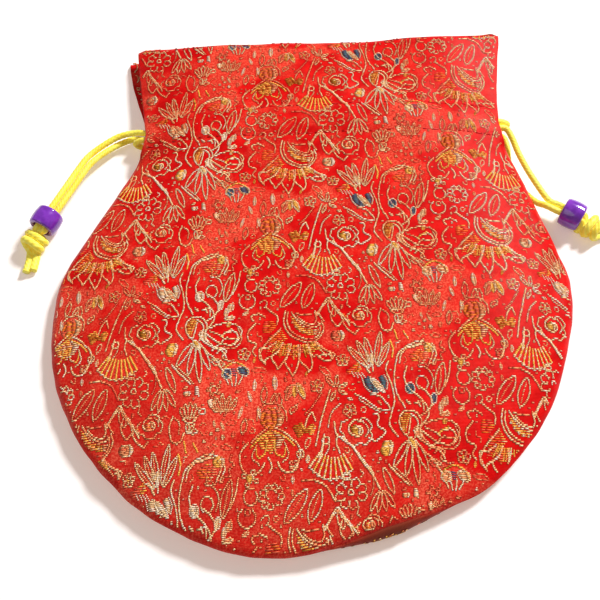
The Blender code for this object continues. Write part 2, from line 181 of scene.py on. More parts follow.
def lamp(name, place, aim, size, power):
    data = bpy.data.lights.new(name, 'AREA')
    data.shape = 'DISK'
    data.size = size
    data.energy = power
    light = bpy.data.objects.new(name, data)
    facing = (Vector(aim) - Vector(place)).to_track_quat('-Z', 'Y')
    light.matrix_world = Matrix.Translation(place) @ facing.to_matrix().to_4x4()
    bpy.context.scene.collection.objects.link(light)


# Materials: sockets that can be used in sums, and one way to add a node

class Value:
    def __init__(self, finish, socket):
        self.finish = finish
        self.socket = socket

    def sum(self, operation, *terms):
        return self.finish.node('Math', {'operation': operation}, dict(enumerate(terms)))

    def __add__(self, other):
        return self.sum('ADD', self, other)

    def __radd__(self, other):
        return self.sum('ADD', other, self)

    def __sub__(self, other):
        return self.sum('SUBTRACT', self, other)

    def __rsub__(self, other):
        return self.sum('SUBTRACT', other, self)

    def __mul__(self, other):
        return self.sum('MULTIPLY', self, other)

    def __rmul__(self, other):
        return self.sum('MULTIPLY', other, self)

    def __truediv__(self, other):
        return self.sum('DIVIDE', self, other)

    def __rtruediv__(self, other):
        return self.sum('DIVIDE', other, self)


class Finish:
    """A material whose nodes are added one by one. constants are the shader's sockets,
    with _ for a space."""

    def __init__(self, name, **constants):
        self.material = bpy.data.materials.new(name)
        self.material.use_nodes = True
        self.tree = self.material.node_tree
        self.shader = self.tree.nodes["Principled BSDF"]
        for socket, value in constants.items():
            self.shader.inputs[socket.replace("_", " ")].default_value = value

    def node(self, kind, settings=None, inputs=None, output=0):
        made = self.tree.nodes.new("ShaderNode" + kind)
        for name, value in (settings or {}).items():
            if name == 'stops':
                for number, (place, colour) in enumerate(value):
                    if number > 1:
                        made.color_ramp.elements.new(place)
                    made.color_ramp.elements[number].position = place
                    made.color_ramp.elements[number].color = (*colour, 1)
            else:
                setattr(made, name, value)
        for name, value in (inputs or {}).items():
            if isinstance(value, Value):
                self.tree.links.new(value.socket, made.inputs[name])
            else:
                made.inputs[name].default_value = value
        return Value(self, made.outputs[output])

    def feed(self, socket, value):
        self.tree.links.new(value.socket, self.shader.inputs[socket])

    def blend(self, factor, a, b, blend_type='MIX'):
        """A colour between a and b."""
        def coloured(c):
            return c if isinstance(c, Value) else (*c, 1)
        return self.node('Mix', {'data_type': 'RGBA', 'blend_type': blend_type},
                         {0: factor, 6: coloured(a), 7: coloured(b)}, output=2)

    def noise(self, place, scale, detail=2, roughness=0.5):
        return self.node('TexNoise', {}, {'Vector': place, 'Scale': scale, 'Detail': detail,
                                          'Roughness': roughness})

    def range(self, value, low, high, to_low=0.0, to_high=1.0):
        return self.node('MapRange', {'interpolation_type': 'SMOOTHSTEP'},
                         {'Value': value, 'From Min': low, 'From Max': high,
                          'To Min': to_low, 'To Max': to_high})

    def bump(self, height, distance, strength):
        return self.node('Bump', {}, {'Height': height, 'Distance': distance, 'Strength': strength})

    def place(self):
        return self.node('TexCoord', {}, {}, output='Object')

    def flat(self, name):
        """Where the surface lies on its own flat cloth, in metres."""
        return self.node('UVMap', {'uv_map': name}, {})

    def parts(self, vector):
        return [self.node('SeparateXYZ', {}, {0: vector}, output=i) for i in range(3)]


def floor_finish():
    floor = Finish("pale_floor", Base_Color=FLOOR_COLOUR, Roughness=0.9, Specular_IOR_Level=0.0)
    paths = [floor.node('LightPath', {}, {}, output=name)
             for name in ('Is Camera Ray', 'Is Glossy Ray', 'Is Transmission Ray')]
    seen = floor.node('Math', {'operation': 'MINIMUM'},
                      {0: paths[0] + paths[1] + paths[2], 1: 1.0})
    glow = floor.node('Emission', {}, {'Color': FLOOR_GLOW, 'Strength': seen * GLOW_STRENGTH})
    both = floor.tree.nodes.new('ShaderNodeAddShader')
    floor.tree.links.new(floor.shader.outputs[0], both.inputs[0])
    floor.tree.links.new(glow.socket, both.inputs[1])
    out = floor.tree.nodes["Material Output"]
    floor.tree.links.new(both.outputs[0], out.inputs["Surface"])
    return floor.material


def studio():
    scene = bpy.context.scene
    scene.view_settings.view_transform = 'Standard'
    bm = bmesh.new()
    bmesh.ops.create_grid(bm, x_segments=1, y_segments=1, size=FLOOR_REACH)
    bmesh.ops.translate(bm, verts=bm.verts, vec=(0, 0, -0.0002))
    mesh = bpy.data.meshes.new("floor")
    bm.to_mesh(mesh)
    bm.free()
    mesh.materials.append(floor_finish())
    floor = bpy.data.objects.new("floor", mesh)
    scene.collection.objects.link(floor)
    lamp("window_light", (0.80, 0.75, 0.95), (0, 0, 0), 0.28, 29.0)
    lamp("soft_fill", (-0.70, -0.50, 1.10), (0, 0, 0), 1.0, 2.9)
    world = bpy.data.worlds.new("studio")
    scene.world = world
    world.use_nodes = True
    sky = world.node_tree
    sky.nodes["Background"].inputs["Color"].default_value = SKY_COLOUR
    path = sky.nodes.new('ShaderNodeLightPath')
    strength = sky.nodes.new('ShaderNodeMapRange')
    strength.inputs["To Min"].default_value = SKY_LIGHT
    strength.inputs["To Max"].default_value = SKY_SEEN
    sky.links.new(path.outputs['Is Camera Ray'], strength.inputs["Value"])
    sky.links.new(strength.outputs["Result"], sky.nodes["Background"].inputs["Strength"])


# Pieces

def shown(name, mesh, look, body, slot, *stands_for):
    mesh.materials.append(look)
    piece = bpy.data.objects.new(name, mesh)
    bpy.context.scene.collection.objects.link(piece)
    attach(piece, body)
    if stands_for:
        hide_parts(*stands_for)
    return piece


def to_mesh(name, bm, look, body, slot, *stands_for):
    mesh = bpy.data.meshes.new(name)
    bm.to_mesh(mesh)
    bm.free()
    mesh.shade_smooth()
    return shown(name, mesh, look, body, slot, *stands_for)


def on_curve(a, b, c, d, t):
    """A place between b and c on the smooth curve through a, b, c and d."""
    return (b * 2 + (c - a) * t + (a * 2 - b * 5 + c * 4 - d) * t * t
            + (b * 3 - a - c * 3 + d) * t ** 3) / 2


# Cords

def curve_points(route, spacing):
    """Evenly spaced points on a smooth curve through the route's points."""
    route = [Vector(p) for p in route]
    ends = [route[0] * 2 - route[1]] + route + [route[-1] * 2 - route[-2]]
    fine = []
    for a, b, c, d in zip(ends, ends[1:], ends[2:], ends[3:]):
        fine += [on_curve(a, b, c, d, i / CURVE_STEPS) for i in range(CURVE_STEPS)]
    fine.append(route[-1])
    runs = [0.0]
    for a, b in zip(fine, fine[1:]):
        runs.append(runs[-1] + (b - a).length)
    count = max(2, round(runs[-1] / spacing)) + 1
    out, k = [], 0
    for i in range(count):
        want = runs[-1] * i / (count - 1)
        while k < len(fine) - 2 and runs[k + 1] < want:
            k += 1
        share = (want - runs[k]) / max(runs[k + 1] - runs[k], 1e-9)
        out.append(fine[k].lerp(fine[k + 1], clamp(share)))
    return out


def run_length(points):
    return sum((b - a).length for a, b in zip(points, points[1:]))


def frames_along(points):
    """Two directions across the line at each point, carried along without twist."""
    tangents = [(b - a).normalized() for a, b in zip([points[0]] + points, points[1:] + [points[-1]])]
    side = tangents[0].cross(UP)
    if side.length < 0.1:
        side = tangents[0].cross(Vector((1, 0, 0)))
    side.normalize()
    out = []
    for t in tangents:
        side = (side - t * side.dot(t)).normalized()
        out.append((side, t.cross(side)))
    return out


CURVE_STEPS = 16        # between two points of a route
BRAID_SIDES = 20        # points round a cord
BRAID_STEP = 0.00022    # rings along it
BRAID_STRANDS = 4       # strands that wind each way
BRAID_PITCH = 0.0062    # one full turn of a strand
BRAID_DEPTH = 0.13      # of the cord's radius


def braid_height(around, along):
    """0 in the furrows of the braid to 1 on the strands."""
    a = (around * BRAID_STRANDS + along / BRAID_PITCH * BRAID_STRANDS)
    b = (around * BRAID_STRANDS - along / BRAID_PITCH * BRAID_STRANDS)
    over = (math.floor(a) + math.floor(b)) % 2 == 0
    across, lengthways = (a % 1, b % 1) if over else (b % 1, a % 1)
    return (math.sin(across * math.pi) ** 0.55) * (0.72 + 0.28 * math.sin(lengthways * math.pi))


def braided(name, points, look, body, *stands_for, diameter=CORD):
    """A braided cord along the points: a grid rolled to a tube and closed at its ends."""
    frames = frames_along(points)
    bm = bmesh.new()
    bmesh.ops.create_grid(bm, x_segments=BRAID_SIDES, y_segments=len(points) - 1, size=1,
                          calc_uvs=False)
    flat = bm.loops.layers.uv.new("braid")
    total = run_length(points)
    rows = len(points) - 1
    places = {}
    for vert in bm.verts:
        places[vert] = ((vert.co.x + 1) / 2, round((vert.co.y + 1) / 2 * rows))
    for face in bm.faces:
        for loop in face.loops:
            around, row = places[loop.vert]
            loop[flat].uv = (around, row / rows * total / (math.pi * diameter))
    for vert, (around, row) in places.items():
        side, up = frames[row]
        turn = around * math.tau
        rise = braid_height(around % 1, row / rows * total)
        radius = diameter / 2 * (1 - BRAID_DEPTH + BRAID_DEPTH * rise)
        vert.co = points[row] + (side * math.cos(turn) + up * math.sin(turn)) * radius
    bmesh.ops.remove_doubles(bm, verts=bm.verts, dist=0.00001)
    rims = [e for e in bm.edges if e.is_boundary]
    bmesh.ops.holes_fill(bm, edges=rims, sides=0)
    bmesh.ops.recalc_face_normals(bm, faces=bm.faces)
    return to_mesh(name, bm, look, body, "cord", *stands_for)


def cord_finish():
    # The emission is a painted glow that lightens the yellow cord where it lies in shade.
    look = Finish("yellow_braided_cord", Roughness=0.55, Sheen_Weight=0.25, Sheen_Roughness=0.4,
                  Emission_Color=(1.0, 0.80, 0.10, 1), Emission_Strength=0.07)
    flat = look.flat("braid")
    thread = look.node('TexWave', {'wave_type': 'BANDS', 'bands_direction': 'DIAGONAL'},
                       {'Vector': flat, 'Scale': 3.2, 'Distortion': 0.6, 'Detail': 1.0})
    patch = look.noise(look.place(), 260, 2)
    shade = look.range(patch, 0.35, 0.65)
    colour = look.blend(thread * 0.5 + shade * 0.45, (1.0, 0.70, 0.016), (1.0, 0.94, 0.130))
    look.feed("Base Color", colour)
    look.feed("Normal", look.bump(thread, 0.00006, 0.7))
    return look.material


CHANNEL_POINTS = 16
CHANNEL_SHARE = 0.985   # of the neck's width, where the cord lies in the channel
KNOT_TURNS = 1.25
KNOT_POINTS = 12
KNOT_START = 205        # degrees round the knot, where the first strand enters
KNOT_LAG = 12           # and how far the other strand is behind
KNOT_LEAN = 0.35
KNOT_FROM = -0.30       # where the turns start and end along the knot, of its length
KNOT_TO = 0.34
STRAND_LAG = 0.0011
TAILS_LEAVE = 0.30      # where the tails leave the knot, of its length
TAILS_HEIGHT = 0.60     # and how high, of its middle's height
TAILS_SPREAD = 1.1
SHORT_TAIL = 0.93       # the second tail, of the first one's length
TAIL_DIP = 0.0004


def channel_stretch(side, front):
    y = CHANNEL_Y + side * CORD_SPACING / 2
    out = []
    for i in range(CHANNEL_POINTS + 1):
        u = crowded(2 * i / CHANNEL_POINTS - 1) * CHANNEL_SHARE
        depth = half_width(y) * (1 - abs(u))
        z = front_height(u, y, depth, 0) - CLOTH / 2 - CHANNEL_GAP / 2
        if not front:
            z = CLOTH + CHANNEL_GAP / 2
        out.append(Vector((u * half_width(y) + centre_x(y), y, z)))
    return out


def straight_stretch(bead, axis, reach, side):
    across = Vector((-axis.y, axis.x, 0)) * side * STRAND_SPACING / 2
    return [bead + across + axis * t for t in (-reach, -reach * 0.6, 0, BEAD_LENGTH / 2 + GAP)]


def turn_outside(front_end, back_end, way):
    drop = front_end.z - back_end.z
    reach = way * LOOP_REACH
    return [front_end + Vector((reach * 0.55, 0, -drop * 0.10)),
            front_end + Vector((reach, 0, -drop / 2)),
            back_end + Vector((reach * 0.55, 0, drop * 0.02))]


def knot_paths(bead_place, axis, tail):
    """Both strands' ways through the overhand knot, and the two cut ends."""
    middle = bead_place + axis * (BEAD_LENGTH / 2 + 3 * GAP + KNOT_LENGTH / 2)
    middle.z = KNOT_HEIGHT / 2 + GAP / 2
    across = Vector((-axis.y, axis.x, 0))
    tail_across = Vector((-tail.y, tail.x, 0))
    wide = (KNOT_WIDTH - CORD) / 2
    high = (KNOT_HEIGHT - CORD) / 2
    out = []
    for side in (-1, 1):
        start = bead_place + across * side * STRAND_SPACING / 2 + axis * (BEAD_LENGTH / 2 + GAP)
        path = [start - axis * 0.0012, start]
        for i in range(KNOT_POINTS + 1):
            share = i / KNOT_POINTS
            angle = math.radians(KNOT_START - side * KNOT_LAG) + share * KNOT_TURNS * math.tau
            lean = KNOT_LEAN * math.cos(angle) * wide
            onward = mix(KNOT_FROM, KNOT_TO, share) * KNOT_LENGTH + side * STRAND_LAG + lean
            path.append(middle + axis * onward + across * math.cos(angle) * wide
                        + UP * math.sin(angle) * high)
        shift = tail_across * side * TAIL_SPACING / 2
        leave = middle + shift + tail * KNOT_LENGTH * TAILS_LEAVE
        length = TAIL_LENGTH if side < 0 else TAIL_LENGTH * SHORT_TAIL
        end = middle + shift * TAILS_SPREAD + tail * length
        leave.z = middle.z * TAILS_HEIGHT
        end.z = CORD / 2 + GAP
        path += [leave, leave.lerp(end, 0.5) - UP * TAIL_DIP, end]
        out.append(path)
    return out


def drawcord(name, way, side, bead, axis, reach, front, back, look):
    through_front = channel_stretch(side, True)
    through_back = channel_stretch(side, False)
    if way > 0:
        through_front.reverse()
        through_back.reverse()
    strands = []
    for label, entry, points, hand in (("front", through_front[:2], front, way),
                                       ("back", through_back[:2], back, -way)):
        route = entry[::-1] + [Vector(p) for p in points]
        route += straight_stretch(bead, axis, reach, hand)
        line = curve_points(route, BRAID_STEP)
        piece = braided(f"{name}_{label}_strand", line, look, "pouch", name)
        strands.append((piece, line))
    held = through_front[1:] + turn_outside(through_front[-1], through_back[-1], -way)
    held += through_back[1:][::-1]
    braided(f"{name}_held_stretch", curve_points(held, BRAID_STEP * 2), look, "pouch", name)
    return strands


def knot(name, bead, axis, tail, look):
    pieces = []
    for number, path in enumerate(knot_paths(bead, axis, tail)):
        line = curve_points(path, BRAID_STEP)
        pieces.append(braided(f"{name}_strand_{number + 1}", line, look, "pouch", name,
                              diameter=CORD * KNOT_SWELL))
    return pieces


# Beads

RIM_STEPS = 8           # along a quarter turn of the rim
BEAD_STEPS = 72         # round the bead


def lying_along(axis, place):
    return (Matrix.Translation(place)
            @ Matrix((UP.cross(axis), UP, axis)).transposed().to_4x4())


def bead(name, place, axis, look):
    outer, bore, half = BEAD_DIAMETER / 2, BEAD_BORE / 2, BEAD_LENGTH / 2
    rim = BEAD_RIM
    section = []
    corners = [(outer - rim, half - rim, 90), (outer - rim, rim - half, 0),
               (bore + rim, rim - half, -90), (bore + rim, half - rim, -180)]
    for number, (r, z, start) in enumerate(corners):
        for i in range(RIM_STEPS + 1):
            turn = math.radians(start - 90 / RIM_STEPS * i)
            section.append((r + rim * math.cos(turn), z + rim * math.sin(turn)))
        if number == 0:
            section += [(outer + BEAD_BULGE * (1 - (t / 3) ** 2), -t * half / 4)
                        for t in (-2, -1, 0, 1, 2)]
    bm = bmesh.new()
    ring = [bm.verts.new((r, 0, z)) for r, z in section]
    edges = [bm.edges.new((a, b)) for a, b in zip(ring, ring[1:] + ring[:1])]
    bmesh.ops.spin(bm, geom=ring + edges, cent=(0, 0, 0), axis=(0, 0, 1), dvec=(0, 0, 0),
                   angle=math.tau, steps=BEAD_STEPS, use_merge=True)
    bmesh.ops.remove_doubles(bm, verts=bm.verts, dist=0.000001)
    bmesh.ops.recalc_face_normals(bm, faces=bm.faces)
    bmesh.ops.transform(bm, matrix=lying_along(axis, place), verts=bm.verts)
    return to_mesh(name + "_turned", bm, look, name, "bead", name)


def bead_finish():
    look = Finish("purple_glossy_plastic", Roughness=0.16, Coat_Weight=0.6, Coat_Roughness=0.08)
    place = look.place()
    swirl = look.noise(place, 420, 2)
    colour = look.blend(look.range(swirl, 0.3, 0.7), (0.150, 0.018, 0.36), (0.235, 0.036, 0.50))
    look.feed("Base Color", colour)
    look.feed("Roughness", look.range(look.noise(place, 900, 3), 0.3, 0.8, 0.10, 0.24))
    look.feed("Normal", look.bump(look.noise(place, 700, 2), 0.00002, 0.5))
    return look.material


# The panels' shapes, as in the solids

def steps(stations, at):
    for (p0, v0), (p1, v1) in zip(stations, stations[1:]):
        if at <= p1:
            return mix(v0, v1, smooth((at - p0) / (p1 - p0)))
    return stations[-1][1]


def centre_x(y):
    if y > BASE_Y:
        return NECK_SHIFT * smooth((y - BASE_Y) / BEND_RISE)
    return BASE_SHIFT * (BASE_Y - y) / BODY_RADIUS


def shoulder_curve():
    """Half the width at evenly spaced heights above the base's middle."""
    low, high = Vector((BODY_RADIUS, BASE_Y)), Vector((NECK_WIDTH / 2, CHANNEL_Y))
    ease = Vector((0, SHOULDER_EASE))
    line = []
    for i in range(401):
        t = i / 400
        a, b, c = (1 - t) ** 3, 3 * t * (1 - t) ** 2, 3 * t * t * (1 - t)
        line.append(low * a + (low + ease) * b + (high - ease) * c + high * t ** 3)
    widths, k = [], 0
    for i in range(201):
        y = mix(BASE_Y, CHANNEL_Y, i / 200)
        while k < 399 and line[k + 1].y < y:
            k += 1
        share = clamp((y - line[k].y) / (line[k + 1].y - line[k].y))
        widths.append(mix(line[k].x, line[k + 1].x, share))
    return widths


SHOULDER = shoulder_curve()


def half_width(y):
    if y >= CHANNEL_Y:
        flare = (y - CHANNEL_Y) / (FOLD_Y + CORNER_RISE - CHANNEL_Y)
        return mix(NECK_WIDTH, MOUTH_WIDTH, flare) / 2
    at = clamp((y - BASE_Y) / (CHANNEL_Y - BASE_Y)) * 200
    k = min(int(at), 199)
    return mix(SHOULDER[k], SHOULDER[k + 1], at - k)


def roll_share(x, y):
    return smooth(1 - abs(math.atan2(y - BASE_Y, x) - ROLL_ANGLE) / ROLL_SPREAD)


def rise(depth):
    return 1 - (1 - clamp(depth / PUFF_WIDTH)) ** PUFF_POWER


def curl(depth):
    return (1 - clamp(depth / RIM_TURN)) ** 2


def channel_gap(y):
    edge = CHANNEL_HEIGHT / 2
    return steps([(0, CHANNEL_GAP), (CORD_SPAN, CHANNEL_GAP), (edge, GAP)],
                 abs(y - CHANNEL_Y))


CHANNEL_SIDE = CLOTH / 2 + 2 * (CHANNEL_GAP + CLOTH) + LAYER_STEP


def front_side_height(x, y):
    corner = CORNER_LIFT if x > 0 else 0
    return steps([(SEAM_TOP_Y - 0.004, RIM_HEIGHT + LAYER_STEP / 2),
                  (CHANNEL_Y - CORD_SPAN, CHANNEL_SIDE), (CHANNEL_Y + CORD_SPAN, CHANNEL_SIDE),
                  (STITCH_Y + 0.004, STITCH_HEIGHT_SIDE),
                  (FOLD_Y + CORNER_RISE, FRILL_HEIGHT_SIDE + corner)], y)


def front_middle_height(y):
    channel = CHANNEL_SIDE + MOUTH_SPREAD
    return steps([(HEM_Y - 0.012, PUFF_HEIGHT), (CHANNEL_Y - CORD_SPAN, channel),
                  (CHANNEL_Y + CORD_SPAN, channel), (STITCH_Y + 0.006, STITCH_HEIGHT),
                  (FOLD_Y + CORNER_RISE, FRILL_HEIGHT_MID)], y)


def front_height(x, y, depth, rolled):
    low = front_side_height(x, y) + ROLL_LIFT * rolled
    return mix(low, front_middle_height(y), rise(depth))


def back_height(y, depth, rolled):
    low = CLOTH / 2
    rim = steps([(SEAM_TOP_Y, RIM_HEIGHT - LAYER_STEP / 2 + ROLL_LIFT * rolled),
                 (HEM_Y, RIM_HEIGHT - 1.5 * LAYER_STEP),
                 (CHANNEL_Y - CORD_SPAN, low)], y)
    return mix(low, rim, curl(depth))


EDGE_DENSITY = 0.6


def crowded(t):
    return mix(t, math.sin(t * math.pi / 2), EDGE_DENSITY)


# The cloth: a place on it is (x, y), where y runs on past the fold on the inside

def mouth_rise(u, y):
    rounded = CORNER_ROUND * smooth((abs(u) - 0.955) / 0.045) * smooth((y - FOLD_Y) / 0.005 + 1)
    return CORNER_RISE * u ** 4 * clamp((y - STITCH_Y) / FRILL_HEIGHT) - rounded


def on_cloth(s, t):
    """The layer, its side share u, the height y and the depth from the seam, for a
    place s across and t along the flat cloth, both measured as it lies."""
    inner = t > FOLD_Y
    y = 2 * FOLD_Y - t if inner else t
    if y < BASE_Y:
        r = math.hypot(s, y - BASE_Y)
        return inner, s / BODY_RADIUS, y, BODY_RADIUS - r
    half = half_width(y)
    u = s / half
    return inner, u, y, half * (1 - abs(u))


# How high or deep the folds of the cloth are
BROAD_RISE = 0.0007
PUCKER_RISE = 0.00045
GATHER_RISE = 0.0006
CREASE_DEPTH = 0.00030
FRILL_WAVE = 0.0011
SEAM_WAVE = 0.0009
SEAM_PUCKER = 0.00022
FRONT_MOUTH_WAVE = 0.0007
BACK_MOUTH_WAVE = 0.0006
MOUTH_WAVE_REACH = 0.012
FOLD_WIDTH = 0.0012     # from the mouth's fold to where the layers are apart
RIM_DROP = 0.0009       # how far the front panel's rim turns down
RIM_DROP_WIDTH = 0.0022


def wrinkles(s, y, depth):
    """How far the front panel stands up from its plain shape."""
    ease = smooth(depth / 0.012)
    broad = noise.noise(Vector((s * 34, y * 30, 3.1))) * BROAD_RISE * ease
    puckers = noise.noise(Vector((s * 190, y * 190, 7.7))) * PUCKER_RISE * hump(depth - 0.002, 0.006)
    neck = hump(y - CHANNEL_Y, 0.016)
    gathers = noise.noise(Vector((s * 150, y * 22, 1.3))) * GATHER_RISE * neck * ease
    creases = -CREASE_DEPTH * (hump(y - STITCH_Y - 0.0006, 0.0013) + hump(y - HEM_Y, 0.0012)) * ease
    frill = smooth((y - STITCH_Y) / 0.012)
    waves = noise.noise(Vector((s * 62, y * 9, 5.5))) * FRILL_WAVE * frill * ease
    return broad + puckers + gathers + creases + waves


def edge_wave(x, y):
    """How far the seam's line leaves its plain outline at a place on it."""
    return (noise.noise(Vector((x * 42, y * 42, 2.0))) * SEAM_WAVE
            + noise.noise(Vector((x * 190, y * 190, 6.0))) * SEAM_PUCKER)


def mouth_wave(s, cycles, seed, y, height):
    """How far the mouth's edge leaves its plain line."""
    return (noise.noise(Vector((s * cycles, seed, 0))) * height
            * smooth((y - FOLD_Y + MOUTH_WAVE_REACH) / MOUTH_WAVE_REACH))


def waved(x, y):
    """A place of the body or shoulder, moved out or in with the nearest seam."""
    if y >= BASE_Y:
        return x * (1 + edge_wave(math.copysign(half_width(y), x), y) / BODY_RADIUS), y
    reach = math.hypot(x, y - BASE_Y) or 1.0
    rim_x, rim_y = x / reach * BODY_RADIUS, BASE_Y + (y - BASE_Y) / reach * BODY_RADIUS
    share = edge_wave(rim_x, rim_y) / BODY_RADIUS * smooth(reach / BODY_RADIUS)
    return x * (1 + share), BASE_Y + (y - BASE_Y) * (1 + share)


def plain_place(s, t, pull):
    """The layer, side share and height of a place on the cloth, then its x, y, depth and
    how far the seam is rolled there. pull says how far that draws the cloth in."""
    inner, u, y, depth = on_cloth(s, t)
    if y >= BASE_Y:
        y_up = y + mouth_rise(u, y)
        half = half_width(y_up)
        return inner, u, y, u * half, y_up, half * (1 - abs(u)), 0.0
    rolled = roll_share(s, y)
    inset = 1 - pull(depth) * ROLL * rolled / BODY_RADIUS
    return inner, u, y, s * inset, BASE_Y + (y - BASE_Y) * inset, depth, rolled


def front_pull(depth):
    return 1 - rise(depth)


def back_pull(depth):
    return curl(depth) - 2 * curl(depth) * (1 - curl(depth))


def front_cloth(s, t):
    """The middle of the front panel's cloth at a place on it."""
    inner, u, y, x, y_up, depth, rolled = plain_place(s, t, front_pull)
    z = front_height(u, y_up, depth, rolled) + wrinkles(s, y, depth)
    if y < SEAM_TOP_Y:
        z -= RIM_DROP * max(0, 1 - depth / RIM_DROP_WIDTH) ** 2
    fold = hump(y - FOLD_Y, FOLD_WIDTH)
    if inner:
        z -= (CLOTH + channel_gap(y)) * (1 - fold) + fold * LAYER_STEP
    x, y_up = waved(x, y_up)
    x += centre_x(y_up)
    return Vector((x, y_up + mouth_wave(s, 55, 2.2, y, FRONT_MOUTH_WAVE), z))


def back_cloth(s, t):
    """The middle of the back panel's cloth at a place on it."""
    inner, _, y, x, y_up, depth, rolled = plain_place(s, t, back_pull)
    x -= BACK_SLIP * smooth((y_up - CHANNEL_Y) / (FOLD_Y - CHANNEL_Y))
    z = back_height(y_up, depth, rolled)
    fold = hump(y - FOLD_Y, FOLD_WIDTH)
    if inner:
        z += (CLOTH + channel_gap(y)) * (1 - fold) + fold * LAYER_STEP
    x, y_up = waved(x, y_up)
    x += centre_x(y_up)
    return Vector((x, y_up + mouth_wave(s, 50, 9.2, y, BACK_MOUTH_WAVE), z))


COLUMNS = 132
BASE_ROWS = 62
SHOULDER_ROWS = 46
NECK_ROWS = 20
FRILL_ROWS = 30


def cloth_rows():
    """(part, place) for each row of the panel's grid, from the base up, over the fold
    and down to the hem."""
    out = [("base", crowded(i / BASE_ROWS - 1)) for i in range(BASE_ROWS)]
    out += [("neck", mix(BASE_Y, SEAM_TOP_Y, i / SHOULDER_ROWS)) for i in range(SHOULDER_ROWS)]
    up = [mix(SEAM_TOP_Y, STITCH_Y, i / NECK_ROWS) for i in range(NECK_ROWS)]
    frill = [mix(STITCH_Y, FOLD_Y, i / FRILL_ROWS) for i in range(FRILL_ROWS + 1)]
    inside = [2 * FOLD_Y - y for y in (up[2:] + frill)[::-1][1:]]
    return out + [("neck", y) for y in up + frill + inside]


def cloth_panel(name, lay, look, facing, shift):
    rows = cloth_rows()
    bm = bmesh.new()
    bmesh.ops.create_grid(bm, x_segments=COLUMNS, y_segments=len(rows) - 1, size=1)
    flat = bm.loops.layers.uv.new("cloth")
    pale = bm.verts.layers.float.new("pale_ground")
    # The float layer made next holds painted shade: how far the back panel's rolled rim at the lower
    # right is darkened, where it lies in shade.
    reverse = bm.verts.layers.float.new("painted_rim_shade")
    spots = {}
    for vert in bm.verts:
        part, place = rows[round((vert.co.y + 1) / 2 * (len(rows) - 1))]
        u = crowded(vert.co.x)
        if part == "base":
            s = BODY_RADIUS * u * math.sqrt(1 - place * place / 2)
            t = BASE_Y + BODY_RADIUS * place * math.sqrt(1 - u * u / 2)
        else:
            y = 2 * FOLD_Y - place if place > FOLD_Y else place
            s, t = u * half_width(y), place
        spots[vert] = (s, t)
    for face in bm.faces:
        for loop in face.loops:
            loop[flat].uv = spots[loop.vert]
    for vert, (s, t) in spots.items():
        vert.co = lay(s, t)
        x, y = pattern_place(s, t)
        vert[pale] = speckled(x - shift.x, y - shift.y)
        # Painted shade on the back panel's rolled rim, strongest near the seam.
        if facing < 0 and t < BASE_Y:
            depth = BODY_RADIUS - math.hypot(s, t - BASE_Y)
            vert[reverse] = roll_share(s, t) * smooth(1.6 - depth / 0.004)
    if facing < 0:
        bmesh.ops.reverse_faces(bm, faces=bm.faces)
    panel = to_mesh(name + "_cloth", bm, look, "pouch", "brocade", name)
    thicken = panel.modifiers.new("cloth", 'SOLIDIFY')
    thicken.thickness = CLOTH
    thicken.offset = 0
    thicken.use_even_offset = False
    return panel


def inside(x, y, outline):
    """Whether a place is inside a closed outline."""
    hit = False
    for a, b in zip(outline, outline[1:] + outline[:1]):
        if (a.y > y) != (b.y > y) and x < a.x + (b.x - a.x) * (y - a.y) / (b.y - a.y):
            hit = not hit
    return hit


def speckled(x, y):
    """How much of the pale ground is at a place of the pattern."""
    for i in (-1, 0, 1, 2):
        for j in range(-2, 4):
            at = Vector((x, y)) - ACROSS_REPEAT * i - ALONG_REPEAT * (j + i // 2)
            if -36 < at.x < 36 and -57 < at.y < 4:
                for outline, strength in ZONES:
                    if inside(at.x, at.y, outline):
                        return strength
    return 0.0


def cloth_finish():
    look = Finish("red_satin_ground", Roughness=0.42, Specular_IOR_Level=0.12,
                  Specular_Tint=(1.0, 0.30, 0.22, 1), Sheen_Weight=0.04, Sheen_Roughness=0.35,
                  Sheen_Tint=(1.0, 0.45, 0.35, 1))
    flat = look.flat("cloth")
    across, along, _ = look.parts(flat)
    weft = look.node('TexWave', {'wave_type': 'BANDS', 'bands_direction': 'Y'},
                     {'Vector': flat, 'Scale': 900, 'Distortion': 0.4, 'Detail': 1.0,
                      'Detail Scale': 2.0})
    speckle = look.noise(flat, 1700, 2, 0.6)
    pale = look.node('Attribute', {'attribute_name': "pale_ground"}, {}, output='Fac')
    # How much pale ground shows: the pattern's zones and random patches, plus painted sheen (paler
    # towards the lower left) and painted shade (less pale towards the right).
    pale_ground_sheen_and_shade = (pale * 0.8 + look.range(look.noise(flat, 75, 4, 0.6), 0.46, 0.58) * 0.42
             + look.range(across * 0.5 + along, -0.035, -0.080) * 0.45
             - look.range(across, 0.020, 0.060) * 0.62)
    lift = look.range(speckle, 0.42, 0.66)
    ground = look.blend(look.range(look.noise(flat, 240, 2), 0.3, 0.7),
                        (0.56, 0.002, 0.003), (0.74, 0.006, 0.005))
    threads = look.blend(pale_ground_sheen_and_shade * (lift * 0.72 + 0.16), ground, (0.93, 0.135, 0.070))
    # Painted shade: the back panel's rolled rim is turned dark brown where it lies in shade.
    rim_shade_share = look.node('Attribute', {'attribute_name': "painted_rim_shade"}, {}, output='Fac')
    look.feed("Base Color", look.blend(rim_shade_share, threads, (0.20, 0.035, 0.018)))
    look.feed("Roughness", look.range(speckle, 0.3, 0.7, 0.34, 0.50))
    look.feed("Normal", look.bump(weft * 0.5 + speckle * 0.8, 0.00008, 0.6))
    return look.material


# The brocade's figures, drawn in millimetres for one repeat: LINES holds (points, tone,
# width), FILLS (left, right, y, tone, width, tone of the end), ZONES (outline, strength).

